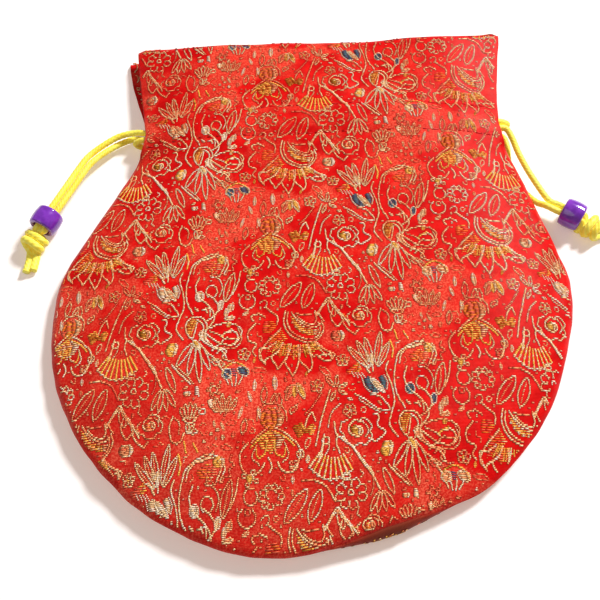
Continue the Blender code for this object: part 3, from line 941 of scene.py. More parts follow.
ACROSS_REPEAT = Vector((56.0, -29.3))
ALONG_REPEAT = Vector((0.3, 58.3))
SQUARES = 130           # along each side of a repeat, to find what is bare
TRIES = 32              # places tried for small figures along each side
# The darkest red tone is painted shade, laid as a halo round the line threads.
TONES = {"cream": (0.96, 0.75, 0.42), "beige": (0.92, 0.38, 0.17), "rose": (0.88, 0.17, 0.085),
         "gold": (0.93, 0.56, 0.10), "olive": (0.48, 0.22, 0.02), "orange": (0.92, 0.26, 0.035),
         "slate": (0.06, 0.13, 0.24), "teal": (0.05, 0.20, 0.27), "white": (0.93, 0.88, 0.72),
         "mauve": (0.20, 0.12, 0.22), "painted_halo": (0.36, 0.001, 0.001),
         "red": (0.66, 0.012, 0.010)}
LINE_STEP = 0.5         # between the points of a drawn line
WOBBLE = 0.07           # how far a drawn line strays
LINES = []
FILLS = []
ZONES = []


def along(points, closed=False):
    """A smooth line through the points, a little unsteady as woven lines are."""
    points = [Vector(p) for p in points]
    if closed:
        ends = [points[-1]] + points + points[:2]
    else:
        ends = [points[0] * 2 - points[1]] + points + [points[-1] * 2 - points[-2]]
    out = []
    for a, b, c, d in zip(ends, ends[1:], ends[2:], ends[3:]):
        count = max(2, round((c - b).length / LINE_STEP))
        out += [on_curve(a, b, c, d, i / count) for i in range(count)]
    out.append(points[0] if closed else points[-1])
    return [p + Vector((math.sin(p.y * 4.1 + p.x * 1.3), math.sin(p.x * 3.7 - p.y * 1.9))) * WOBBLE
            for p in out]


def line(points, tone="beige", width=0.48, closed=False):
    LINES.append((along(points, closed), tone, width))


def turned(x, y, angle):
    c, s = math.cos(math.radians(angle)), math.sin(math.radians(angle))
    return lambda a, b: (x + a * c - b * s, y + a * s + b * c)


def fill(outline, tone, spacing=0.46, width=0.40, ends=None):
    """Threads across a closed outline, row by row."""
    ys = [p[1] for p in outline]
    row = math.ceil(min(ys) / spacing)
    while row * spacing < max(ys):
        y = row * spacing
        cuts = sorted(a[0] + (b[0] - a[0]) * (y - a[1]) / (b[1] - a[1])
                      for a, b in zip(outline, outline[1:] + outline[:1])
                      if (a[1] > y) != (b[1] > y))
        for left, right in zip(cuts[::2], cuts[1::2]):
            if right - left > 0.3:
                FILLS.append((left, right, y, tone, width, ends))
        row += 1


def round_outline(x, y, rx, ry, angle=0, count=14):
    put = turned(x, y, angle)
    return [put(rx * math.cos(math.tau * i / count), ry * math.sin(math.tau * i / count))
            for i in range(count)]


def berry(x, y, rx, ry, tone="gold", ends="cream", angle=0, rim=None):
    outline = round_outline(x, y, rx, ry, angle)
    fill(outline, tone, ends=ends)
    if rim:
        line(outline, rim, 0.34, True)


def pod_outline(x, y, length, width, angle):
    """A pointed oval that starts at (x, y)."""
    put = turned(x, y, angle)
    shares = [0, 0.12, 0.35, 0.65, 0.88, 1]
    upper = [put(length * s, width / 2 * math.sin(math.pi * s) ** 0.7) for s in shares]
    lower = [put(length * s, -width / 2 * math.sin(math.pi * s) ** 0.7) for s in shares[-2:0:-1]]
    return upper + lower


def pod(x, y, length, width, angle, tone="beige", inside=None, vein=None):
    outline = pod_outline(x, y, length, width, angle)
    line(outline, tone, 0.42, True)
    if inside:
        fill(outline, inside)
    if vein:
        put = turned(x, y, angle)
        line([put(length * 0.15, 0), put(length * 0.5, width * 0.05), put(length * 0.85, 0)],
             vein, 0.32)


def spray(x, y, tips, width, tone="beige", inside=None, vein=None):
    """Pods from one place to each of the tips."""
    for tx, ty in tips:
        run = math.hypot(tx - x, ty - y)
        pod(x + (tx - x) * 0.22, y + (ty - y) * 0.22, run * 0.78, width,
            math.degrees(math.atan2(ty - y, tx - x)), tone, inside, vein)


def ring(x, y, r, start=0, end=360, tone="beige", width=0.42, squash=1.0):
    count = max(5, round(abs(end - start) / 40))
    points = [(x + r * math.cos(math.radians(mix(start, end, i / count))),
               y + r * squash * math.sin(math.radians(mix(start, end, i / count))))
              for i in range(count + 1)]
    line(points, tone, width)


def petals(x, y, r, size, count, start=0, end=360, tone="beige"):
    """Small loops on a ring."""
    for i in range(count):
        turn = math.radians(mix(start, end, (i + 0.5) / count))
        ring(x + r * math.cos(turn), y + r * math.sin(turn), size, math.degrees(turn) - 150,
             math.degrees(turn) + 150, tone, 0.38)


def scalloped(points, lobe, tone="beige", width=0.42):
    """A line made of small outward bows between the points."""
    out = [points[0]]
    for (ax, ay), (bx, by) in zip(points, points[1:]):
        run = math.hypot(bx - ax, by - ay) or 1
        out.append(((ax + bx) / 2 + (by - ay) / run * lobe, (ay + by) / 2 - (bx - ax) / run * lobe))
        out.append((bx, by))
    line(out, tone, width)


def whorl(x, y, size, start, tone="beige", core="gold"):
    """A rose: scalloped petals round a curled middle."""
    put = turned(x, y, start)
    line([put(-0.1 * size, 0.05 * size), put(0.05 * size, 0.22 * size), put(0.28 * size, 0.12 * size),
          put(0.30 * size, -0.18 * size), put(0.02 * size, -0.34 * size), put(-0.34 * size, -0.2 * size),
          put(-0.42 * size, 0.16 * size), put(-0.16 * size, 0.5 * size), put(0.3 * size, 0.48 * size)],
         tone, 0.5)
    fill([put(-0.38 * size, 0.1 * size), put(-0.1 * size, 0.3 * size), put(0.25 * size, 0.1 * size),
          put(0.2 * size, -0.2 * size), put(-0.2 * size, -0.25 * size)], core, ends=tone)
    around = [put(size * r * math.cos(math.radians(a)), size * r * math.sin(math.radians(a)))
              for a, r in ((80, 0.62), (40, 0.78), (5, 0.7), (-35, 0.86), (-70, 0.72), (-110, 0.84),
                           (-150, 0.7), (-185, 0.84), (-220, 0.68))]
    scalloped(around, -0.14 * size, tone)
    line([put(0.45 * size, 0.35 * size), put(0.62 * size, 0.05 * size), put(0.5 * size, -0.3 * size)],
         tone, 0.4)


def fan(x, y, inner, outer, start, end, count, tone="gold", edge="cream"):
    """Stripes that spread from (x, y)."""
    tips = []
    for i in range(count):
        turn = math.radians(mix(start, end, i / (count - 1)))
        c, s = math.cos(turn), math.sin(turn)
        far = outer * (0.88 + 0.12 * math.sin(math.pi * i / (count - 1)))
        line([(x + c * inner, y + s * inner), (x + c * far, y + s * far)], tone, 0.62)
        tips.append((x + c * far * 1.03, y + s * far * 1.03))
    scalloped(tips, -0.5 if end > start else 0.5, edge, 0.38)


def zone(outline, strength=1.0):
    """A part of the ground with pale speckled threads."""
    ZONES.append(([Vector(p) for p in outline], strength))


def in_repeat(x, y):
    """Which small square of the repeat a place is in, whichever repeat it is."""
    turn = ACROSS_REPEAT.cross(ALONG_REPEAT)
    place = Vector((x, y))
    return (int(place.cross(ALONG_REPEAT) / turn % 1 * SQUARES),
            int(ACROSS_REPEAT.cross(place) / turn % 1 * SQUARES))


def squares_taken(lines, fills):
    for points, _, _ in lines:
        yield from (in_repeat(*p) for p in points)
    for left, right, y, *_ in fills:
        yield from (in_repeat(mix(left, right, i / 4), y) for i in range(5))


def small_figures():
    """Curls, leaves, blossoms and dots wherever the ground is still bare."""
    taken = set(squares_taken(LINES, FILLS))
    for r in (2.3, 1.7, 1.2, 0.75):
        for a in range(TRIES):
            for b in range(TRIES):
                share = Vector((a + chance(a, b, r) * 0.8, b + chance(b, a, r) * 0.8)) / TRIES
                p = ACROSS_REPEAT * share.x + ALONG_REPEAT * share.y
                x, y = p
                near = []
                for i in range(12):
                    c, s = math.cos(math.tau * i / 12), math.sin(math.tau * i / 12)
                    near += [in_repeat(x + r * k * c, y + r * k * s) for k in (0, 0.4, 0.7, 0.95)]
                if taken.intersection(near):
                    continue
                kind, turn = chance(x, y), chance(y, x, 2) * 360
                tone = "rose" if chance(x, y, 5) < 0.6 else "beige"
                start = len(LINES), len(FILLS)
                if r > 2:
                    if kind < 0.4:
                        petals(x, y, 1.15, 0.62, 5, turn, turn + 360, tone)
                        berry(x, y, 0.5, 0.5, "gold", "cream")
                    elif kind < 0.7:
                        put = turned(x, y, turn)
                        line(pod_outline(*put(-1.9, 0), 3.8, 1.5, turn), tone, 0.34, True)
                    else:
                        ring(x, y, 1.5, turn, turn + 250, tone, 0.35)
                        ring(x, y, 0.7, turn + 90, turn + 300, tone, 0.34)
                elif r > 1.5:
                    put = turned(x, y, turn)
                    if kind < 0.4:
                        line(pod_outline(*put(-1.4, 0), 2.8, 1.2, turn), tone, 0.34, True)
                    elif kind < 0.7:
                        berry(x, y, 0.9, 0.8, "orange" if kind < 0.5 else "gold", "beige")
                    else:
                        line([put(-1.4, 0.3), put(-0.5, -0.5), put(0.5, 0.1), put(1.3, -0.4)],
                             tone, 0.35)
                elif r > 1:
                    put = turned(x, y, turn)
                    if kind < 0.45:
                        line([put(-0.9, 0.3), put(0, -0.4), put(0.9, 0.2)], tone, 0.34)
                    elif kind < 0.7:
                        fill(pod_outline(*put(-0.9, 0), 1.8, 0.9, turn), tone)
                    else:
                        ring(x, y, 0.65, turn, turn + 300, tone, 0.33)
                elif kind < 0.5:
                    berry(x, y, 0.36, 0.36, tone, "cream")
                taken.update(squares_taken(LINES[start[0]:], FILLS[start[1]:]))


def draw_repeat():
    """Every figure of one repeat, as it lies round the middle of the pouch."""
    # Striped fan and its stems
    fan(3.6, 2.2, 5.6, 11.2, -128, -62, 9)
    line([(1.6, 2.5), (0.9, -0.6), (0.2, -3)])
    line([(5, 2.5), (4.6, 0.2), (5.4, -2.2)])
    line([(2.8, 1.5), (2.6, -0.8), (1.6, -2.6)], "beige", 0.36)
    ring(6.8, -8.2, 0.9)

    # Great lotus: bowl, roof of petals, skirt of petals
    for shift, tone in ((0, "cream"), (0.95, "beige")):
        line([(-7.9 + shift * 0.8, -20), (-8.4 + shift, -23.2),
              (-7.2 + shift * 0.9, -26.6 + shift * 0.5), (-4.2 + shift * 0.3, -28.9 + shift),
              (-1, -29.6 + shift), (1.3 - shift * 0.5, -28.2 + shift * 0.6),
              (2.5 - shift, -25.6), (2 - shift, -23.6)], tone, 0.5)
    line([(-6.2, -20.4), (-4.6, -22.6), (-2.4, -24.4), (0.2, -25), (1.6, -24.2)], "cream")
    line([(-5, -20.6), (-3, -21.2), (-0.8, -21)])
    line([(-4.6, -21.6), (-2.6, -23.6), (-0.2, -24.2), (0.6, -22.6), (0.2, -20.8)])
    fill([(-6.6, -21.4), (-5.4, -25.2), (-3, -27.2), (0.4, -27.6), (1.4, -25.6), (-0.4, -25.6),
          (-3.2, -24.6), (-5.2, -22.2)], "gold", 0.62, 0.40, "cream")
    for x, y in ((-5.9, -23.4), (-5, -24.8), (-4, -25.8), (-2.8, -26.4), (-1.4, -26.6), (0, -26.8)):
        berry(x, y, 0.5, 0.5, "cream", "cream")
    for shift in (0, 0.8):
        line([(0.6 + shift * 0.3, -21.4), (2 + shift * 0.4, -19.2), (3.4, -17 + shift * -0.9),
              (4.3, -16.2 - shift), (5.4 - shift * 0.4, -18.2 - shift * 0.6), (7.4 - shift * 0.6, -21.2),
              (8.8 - shift, -23.6)], "cream" if shift == 0 else "beige", 0.46)
    line([(2.6, -23.4), (1.4, -21.4), (0.4, -20.4)])
    skirt = [(-15.2, -32), (-14, -35.2), (-11.9, -34.4), (-10.2, -37.2), (-8.4, -35.6),
             (-6.4, -39.2), (-4.4, -35.6), (-2, -38.2), (-0.8, -34.4), (4.2, -34.8)]
    roots = [(-9.6, -29.2), (-8, -29.8), (-5.6, -30.2), (-3.2, -30.2), (-1.2, -29.8)]
    for (rx, ry), k in zip(roots, (1, 3, 5, 7, 9)):
        tx, ty = skirt[k]
        px, py = skirt[k - 1]
        line([(rx - 0.9, ry), ((rx + px) / 2 - 0.4, (ry + py) / 2), (px, py + 0.8), (tx - 0.5, ty + 1.2),
              (tx, ty)], "cream", 0.5)
        line([(rx + 0.9, ry), (mix(rx, tx, 0.5) + 1.4, mix(ry, ty, 0.5)), (tx + 0.9, ty + 1.4),
              (tx, ty)], "cream", 0.5)
        line([(rx - 0.2, ry), (mix(rx, tx, 0.45), mix(ry, ty, 0.45))], "gold", 0.44)
        line([(rx + 0.5, ry - 0.2), (mix(rx, tx, 0.35) + 0.6, mix(ry, ty, 0.35))], "gold", 0.36)
    line([(0.2, -29.6), (2, -31.4), (3.8, -33), (4.4, -34.6), (2.6, -35.2), (0.8, -34.2)], "cream", 0.5)
    line([(-0.6, -30.2), (1.4, -32.2), (2.8, -33.8)], "beige", 0.4)
    fill([(-9.6, -29.2), (-6, -30.2), (-1, -30.2), (0.4, -29.4), (0.6, -31.8), (-1.6, -33.6),
          (-3.6, -32.4), (-5.8, -34.4), (-7.6, -32.8), (-9.8, -33.8), (-11.5, -31.2)],
         "orange", 0.6, 0.36, "gold")
    fill([(-12.6, -27.2), (-9, -25.6), (-7.4, -28.2), (-10.2, -30.8), (-13.4, -32.6)], "orange", 0.6,
         0.3, "gold")
    line([(-9.2, -25.2), (-12, -28), (-14.4, -31), (-15.2, -33.4), (-13.6, -35.4)])

    # Dome flower with wings and three lobes
    berry(-12, -50.6, 3.3, 3, "orange", "beige")
    ring(-12, -50.4, 3.9, -12, 190, "beige", 0.46)
    for way in (-1, 1):
        wing = [(-12.2 + way * 0.5, -52.8), (-12 + way * 3, -54.4), (-12 + way * 5.4, -56.8)]
        line(wing, "beige")
        line([(x + way * 0.2, y - 1.3) for x, y in wing], "gold", 0.5)
        line([(-12.2 + way * 6, -56.9), (-12.6 + way * 7.6, -59.4), (-12.8 + way * 7.2, -62.4),
              (-12.8 + way * 5.6, -64.6), (-12.6 + way * 3, -64.2), (-12.4 + way * 1.6, -62)],
             "beige", 0.5)
        line([(-12.4 + way * 1, -56.6), (-12.6 + way * 1.4, -59.6), (-12.5 + way * 3.2, -60.6),
              (-12.4 + way * 3.8, -58.2)], "gold", 0.44)
        line([(-12.4 + way * 3.6, -57.4), (-12.6 + way * 4.6, -60.4), (-12.5 + way * 3, -62.2)],
             "beige", 0.4)
    fill([(-16.4, -55.6), (-12.4, -53.6), (-8.6, -55.8), (-10, -58.4), (-12.4, -59.8), (-15, -58.4)],
         "gold", 0.62, 0.4, "cream")
    line([(-13, -60.8), (-12.2, -62.8), (-12.9, -64.4)], "cream", 0.5)

    # Navy crowned flower
    ring(-21.6, -38.4, 3.5, 10, 170, "gold", 0.5)
    berry(-23.9, -37.9, 1.3, 1.5, "accent", "accent", rim="white")
    berry(-19.5, -37.2, 1.7, 1.2, "accent", "accent", -30, rim="white")
    for x, y, angle in ((-24.2, -39.3, -60), (-22.8, -39.6, -75), (-21.4, -39.6, -95),
                        (-20, -39.4, -115)):
        put = turned(x, y, angle)
        line([put(-1.2, 0), put(0.4, 0.1), put(1.7, 0)], "white", 0.42)
    fill([(-22.8, -36.6), (-21.4, -36), (-20.6, -37.2), (-21.4, -38.8), (-22.6, -38.2)], "mauve", 0.6,
         0.3, "rose")

    # Teal two-lobed flower with a pod between, a wedge and two drops
    fill([(12.2, -41), (13.6, -40.1), (14.6, -41.6), (16, -44.6), (14.4, -44.6), (12.9, -43.4)],
         "accent", 0.42, 0.36)
    fill([(16.2, -40.4), (17.5, -40.2), (18.3, -41.8), (18, -44.2), (17, -43)], "accent", 0.42, 0.36)
    line([(12, -40.9), (12.6, -43.2), (14.2, -44.8), (15.9, -44.9)], "white", 0.36)
    line([(17.8, -40.2), (18.6, -42), (18.2, -44.2)], "white", 0.36)
    pod(14, -40.6, 5.6, 1.5, -50, "cream", "beige")
    fill([(11.4, -36), (12.2, -38.4), (8.4, -39.6), (7.6, -38.2)], "orange", 0.56, 0.34, "gold")
    for i in range(4):
        line([(9.3 + i * 0.9, -39 - i * 0.1), (10 + i * 0.9, -40.2 - i * 0.1)], "white", 0.34)
    berry(24.3, -43.8, 1.25, 1.5, "accent", "accent", rim="white")
    berry(30.2, -46.8, 0.75, 1.5, "accent", "accent", -12, rim="white")

    # Great sprays of pods
    spray(15.4, -39.6, [(8.6, -31.4), (11.2, -29.8), (13.4, -28.8), (17.8, -27.2), (19.8, -30.4)], 1.7,
          "cream", None, "beige")
    line([(12.6, -36.4), (14, -39.2)], "cream", 0.6)
    line([(14.8, -34), (15, -38.6)], "cream", 0.55)
    spray(23.8, -56, [(18.6, -64.6), (21.8, -67.4), (25, -69.4), (27.6, -66)], 1.6, "cream")
    pod(22.9, -57, 3.6, 1.4, -58, "cream", "gold")
    line([(24.4, -55.4), (25.8, -57.6), (28.2, -59.4), (30.8, -60.6), (32, -62.6)], "cream")
    line([(25, -58.6), (27, -61), (29.4, -63.4), (31, -66.2), (33.4, -68.2)], "cream")
    line([(28, -60.4), (30.2, -58.6), (33.4, -58.8), (35, -56.6), (34, -54.8), (31.4, -55.2)], "cream")
    line([(29.2, -61.2), (31.4, -59.6), (34, -59.9), (36, -57.4), (35.2, -54.4)], "beige", 0.38)
    pod(27.8, -63.2, 4, 1.8, -22, "beige", None, "beige")
    line([(33.4, -54), (30.6, -56), (30.9, -56.6)], "gold", 0.5)

    # Olive paisley with its loop
    fill([(22.6, -50.4), (20.9, -52), (21, -54.8), (22.2, -56.2), (23, -53.6), (24, -51)],
         "olive", 0.5, 0.34, "gold")
    line([(24.4, -50.2), (22.4, -50.2), (20.8, -52.2), (21.2, -55), (22.6, -56.6), (23.4, -54.2),
          (23.8, -51.8)])
    line([(24, -51), (25.6, -52.8), (25.2, -55.4), (24.6, -57)], "cream")
    line([(23, -50), (25.4, -50.6), (26.6, -53), (26, -55.8), (27, -57.8)])
    line([(25.2, -48.2), (27.4, -47.6), (28.6, -50.6), (27.2, -53.2), (26, -54.2)])
    line([(26, -47.6), (26.6, -49)])

    # Stems
    line([(8.6, -0.4), (11, -4.6), (13.4, -8.2), (15.2, -12.2)], "beige", 0.55)
    line([(13.4, -8.2), (13.6, -11.2), (12.8, -13.6)], "rose", 0.36)
    line([(19.2, -36), (18.4, -38.6), (19.6, -43), (20, -47.2), (19, -50.4), (18.2, -53.6),
          (20.2, -57)])
    line([(21, -37), (20.4, -41), (20.8, -45.4), (22.6, -49.2)])
    line([(3.4, -43.6), (1.8, -48.2), (0.4, -52.8), (-1, -58.6)])
    line([(5.8, -47.4), (3.4, -50), (2.4, -53.6)], "beige", 0.4)
    line([(1, -44.4), (-1.4, -48), (-3.4, -50.2)], "rose", 0.4)
    ring(1.6, -57.2, 0.9)
    line([(0.4, -60.6), (1, -58.2)])
    line([(-32, -8.2), (-33, -11.6), (-31.6, -15), (-29, -17.6), (-28.6, -20.6)])
    line([(-29.4, -14), (-27.4, -15.8), (-26.2, -18.4), (-27.4, -20.4), (-29.6, -22.2)])
    line([(-26, -30.2), (-24, -31.4), (-25.2, -33.2), (-22.6, -34.6)])

    # Leaves
    pod(16.2, -6.4, 7.6, 1.7, -70, "beige")
    line([(17.8, -6), (20.2, -8.8), (22.8, -11.4)], "cream", 0.5)
    line([(19.4, -6.8), (21.6, -9), (23.6, -11.4)], "beige", 0.36)
    pod(-9.2, -18.6, 9.6, 3.2, 52, "beige", None, "rose")
    line([(-4.6, -9), (-1.2, -9), (1.8, -11), (3.6, -14.4)], "rose", 0.5)
    pod(-3, -19.2, 8.4, 3, 68, "beige", None, "rose")
    pod(-24.6, -16.4, 9.2, 2.6, 76, "beige", None, "rose")
    line([(-20.4, -7), (-21.2, -11), (-22.6, -14.2)])
    line([(9.8, -44.9), (12.6, -46.8), (15.4, -49.2), (18.4, -49.8)], "cream", 0.45)
    line([(10.8, -46.4), (13.4, -48.6), (16, -50.2)], "beige", 0.36)
    line([(13.8, -45.2), (16.4, -46), (18.6, -49)])
    pod(4.4, -16.8, 5.4, 1.8, -78, "beige")
    line([(5.2, -20), (4.6, -22.4), (6.2, -25.2), (7.6, -23.8), (8.6, -25.6), (10.6, -27.6),
          (12, -26.2)])
    line([(6.6, -21), (8.2, -22.6), (9.6, -25)], "cream", 0.5)
    fill([(7.2, -20.8), (8.8, -21.8), (10.4, -24), (9, -23.6)], "orange", 0.6, 0.34)
    for shift in (0, 1):
        line([(21.2 + shift, -36.6), (22 + shift * 0.8, -34), (24.4, -31.8 - shift * 0.6),
              (27.8, -30.4 - shift * 0.9), (30.8 - shift * 0.6, -31.4 - shift * 0.4),
              (32.2 - shift, -33.8), (31 - shift, -36.8)], "cream" if shift == 0 else "beige")
    fill([(24.6, -34.4), (27.4, -32.6), (30, -33.2), (30.2, -35.6), (27.6, -36.6), (25.6, -36.2)],
         "orange", 0.62, 0.3, "beige")
    line([(27, -37.6), (29.4, -38.4), (30.6, -41.2), (29.8, -44)], "beige", 0.4)
    ring(27.6, -42.4, 1.6, -60, 240, "beige", squash=1.2)
    line([(32.8, -38), (32.6, -41.6), (31.4, -45.4)], "rose", 0.4)

    # Bells and shells
    spray(15.6, -11.4, [(12.6, -18.2), (14.6, -18.8), (16.8, -18.4), (19, -17.6)], 1.25, "beige")
    for i, x in enumerate((20.8, 21.9, 23, 24.1, 25.2)):
        pod(mix(x, 23, 0.5), -20.9, 4.4 - abs(i - 2) * 0.5, 1.15, 118 - i * 14, "beige")
    line([(21.2, -21), (22.8, -22.2), (24.6, -21.2)], "beige", 0.5)
    ring(26.2, -19.2, 0.8, tone="cream")
    for i in range(5):
        pod(-24.6 + (i - 2) * 0.7, -48.6, 5 - abs(i - 2) * 0.4, 1.2, 128 - i * 17, "beige", None,
            "beige")
    for i in range(3):
        pod(22.6, -24.6, 2.6, 1, 10 + i * 42, "cream")
    line([(18.4, -20.4), (17.6, -23.2), (18.6, -26.6), (20.6, -26.8), (21.6, -24.6)], "beige", 0.5)
    line([(18.9, -20.6), (20.4, -22.2), (20.2, -24.6)], "beige", 0.4)

    # Roses
    whorl(12.4, -22.2, 3.9, 20, "beige", "orange")
    whorl(9.6, -54.6, 4.9, -10, "beige", "olive")
    line([(14.2, -50.4), (15.6, -51.2), (15, -53.6), (17, -55.4), (14.4, -57.6), (12.6, -56.8)], "cream")
    line([(4, -52.6), (4.4, -55.6), (6.2, -57.2)], "beige", 0.5)
    line([(5.8, -56.2), (8.8, -59.6), (11, -62.8), (13.4, -66.2)], "cream", 0.5)

    # Small flowers and rings
    ring(7.7, -12.6, 0.7, tone="cream")
    petals(7.8, -12.9, 3, 1.15, 8, -40, 300, "beige")
    line([(9.6, -16.8), (9.2, -18.6), (10, -19.4)], "beige", 0.36)
    petals(-12.2, -12, 2.4, 0.75, 9, -60, 280, "beige")
    ring(-12.2, -11.4, 1.3, 20, 230, "beige")
    ring(-18.4, -16.4, 2.2, 120, 410, "beige", squash=1.1)
    ring(-18.2, -15.2, 0.7, tone="rose")
    ring(-17.4, -11.6, 1.7, 60, 400, "beige", squash=1.2)
    berry(-17.4, -7.2, 1.1, 1.2, "gold", "cream")
    petals(-17.4, -7.2, 1.7, 0.5, 4, 20, 380, "beige")
    ring(-27.2, -42.4, 1)
    petals(-27.2, -42.4, 1.5, 0.45, 5, 0, 360, "rose")
    ring(-5, -60.4, 0.95)
    berry(-5, -60.4, 0.5, 0.5, "orange", "beige")
    petals(-6.8, -63, 0.8, 0.4, 4, 0, 360, "rose")
    line([(-16.6, -22.6), (-17.4, -21.4), (-15.6, -20.4), (-13.6, -21.4)])
    line([(-13.4, -18.4), (-11.4, -20.2), (-10, -21.6), (-10.2, -23.6)])
    line([(-16.2, -23.4), (-18.2, -26), (-18, -28.4), (-16, -29.6), (-17, -31.4), (-16.2, -33)])
    fill([(-14, -23), (-11.2, -22.4), (-10.2, -24.4), (-12, -26.4), (-14.4, -26)], "orange", 0.62, 0.3)
    line([(-14.8, -17), (-13.6, -16), (-12.9, -17.4), (-13.8, -18.6)], "beige", 0.36)
    line([(-29, -24.4), (-26, -23.2), (-22.4, -23.2), (-20, -25), (-20.4, -27.4), (-22, -29.6)])
    line([(-30, -25.6), (-27.6, -27.8), (-25.6, -28.9), (-24.6, -27.6), (-21.2, -27.7)])
    line([(-28.6, -25.2), (-26.2, -26.4), (-25, -27.4)], "beige", 0.38)
    line([(-29.8, -27.4), (-27.8, -29.6), (-25.4, -31)], "beige", 0.42)

    # Chrysanthemum with a gold middle, and the bud flower
    berry(-25.4, -3, 1.7, 1.5, "gold", "cream")
    scalloped([(-29.8, -5.2), (-28.6, -7.8), (-26.6, -8.4), (-24.6, -8), (-22.4, -6.6), (-21.4, -3.8),
               (-22, -1.2)], -0.9, "rose")
    line([(-31.4, -2.8), (-28.8, -2.2), (-26.8, -0.6)], "beige", 0.6)
    ring(-6, -44.4, 2.6, 20, 160, "beige")
    pod(-8.2, -45.8, 4.6, 1.5, 68, "beige", "rose")
    pod(-3.4, -45.6, 4.6, 1.5, 112, "cream", "gold")
    berry(-6, -43.6, 0.9, 1.6, "gold", "cream")
    fill([(-7, -53.2), (-4.4, -52.2), (-3.4, -54), (-1.8, -52.4), (-0.6, -53.6), (-1.6, -56),
          (-3.6, -55), (-5.4, -56.6)], "olive", 0.5, 0.36, "gold")
    line([(-3.6, -53.6), (-2.8, -51), (-1.6, -49.8), (-0.8, -52)])
    spray(5, -43.4, [(2.4, -40), (5.4, -39.6), (7.8, -42), (7.6, -45), (3.4, -46.6)], 0.9, "beige")

    # Berries, pods and drops
    berry(17.3, -1.9, 1.7, 1.6, "gold", "cream")
    berry(6.2, -28, 2, 1.8, "beige", "white")
    berry(28.5, -17, 0.8, 1.1, "white", "cream")
    berry(22, -14.2, 1.1, 0.8, "cream", "white")
    fill([(24, -11.8), (25.1, -12.6), (25.4, -15.2), (24, -14.6)], "white", 0.5, 0.4)
    for x, y, r in ((28.6, -25.2, 0.5), (30.2, -24.2, 0.55), (31.6, -26.2, 0.6), (26.8, -27, 0.5)):
        berry(x, y, r, r, "cream", "cream")
    line([(21.6, -26.8), (22.2, -29.6)], "gold", 0.55)
    line([(24, -27.2), (25.2, -29.6)], "gold", 0.5)
    line([(20.2, -30), (20.8, -32.4), (20.4, -34.6)], "gold", 0.6)
    for x, y, length, width, angle, tone in (
            (-11, -43.2, 4.6, 1.7, 92, "white"), (-16.6, -43.4, 3.8, 1.3, 86, "white"),
            (-17.2, -46.2, 3.4, 1.2, 108, "white"), (-20.8, -50.8, 4, 1.1, 72, "white"),
            (-15.1, -50.6, 3.4, 1.3, 98, "white"), (-24.2, -53.8, 3, 1, 112, "cream"),
            (-26.8, -52.8, 2.6, 0.9, 94, "cream"), (-16.7, -35.2, 2, 0.9, 80, "gold"),
            (-3, -39.6, 1.8, 0.9, 70, "gold"), (-23.6, -19.6, 3, 1.7, 66, "beige"),
            (-24.6, -21.8, 2.8, 1.3, 12, "beige"), (-19.6, -20.6, 1.8, 0.9, 30, "beige"),
            (-6.8, -9.4, 2, 1.1, 92, "cream"), (-7, -12.4, 1.8, 1.1, 88, "rose"),
            (-4.2, -6.6, 1.4, 0.7, 120, "cream"), (-3, -4.4, 1.8, 0.8, 80, "beige"),
            (31.6, -50.8, 3.4, 1.5, 84, "cream"), (32, -53.6, 1.6, 1.4, 60, "gold"),
            (-29.9, -28.2, 3.2, 1.8, 112, "beige"), (-22.2, -55.6, 2.2, 1.4, 76, "rose")):
        fill(pod_outline(x, y, length, width, angle), tone, 0.42, 0.34, tone)
        if tone == "beige":
            line(pod_outline(x, y, length, width, angle), "beige", 0.32, True)
    for x, y, length, width, angle in ((-14.2, -46.4, 4.6, 1.6, 84), (-12.2, -46.8, 3.2, 1.1, 66),
                                       (-9.9, -47.8, 3.8, 1.3, 92), (-19.6, -54.4, 3.8, 1.5, 78),
                                       (-7.4, -49.4, 2.6, 1.3, 40)):
        pod(x, y, length, width, angle, "beige")
    berry(17.4, -59, 1.6, 1.5, "gold", "cream")
    berry(8.4, -46.2, 0.9, 0.5, "cream", "cream", -35)
    berry(13.4, -62.4, 0.3, 0.3, "cream", "cream")
    for x, y in ((14.6, -60.6), (15.2, -62.4), (12.6, -64.6)):
        berry(x, y, 0.45, 0.45, "beige", "cream")

    # Speckled grounds
    zone([(-28, -33), (-19, -34.6), (-10, -38.4), (-2, -39.6), (5, -36), (9, -41), (4, -46), (-1, -43),
          (-7, -49.6), (-16, -52.6), (-24, -56), (-30, -53), (-33, -46)])
    zone([(20, -22.6), (27, -22), (33, -25), (34, -29.6), (27, -29.4), (20.6, -33.6)], 0.8)
    zone([(3, -25), (9, -28), (6.6, -31.6), (2, -30)], 0.8)
    zone([(-34, 2), (-24, 3), (-20, -2), (-25, -6), (-32, -4)], 0.9)


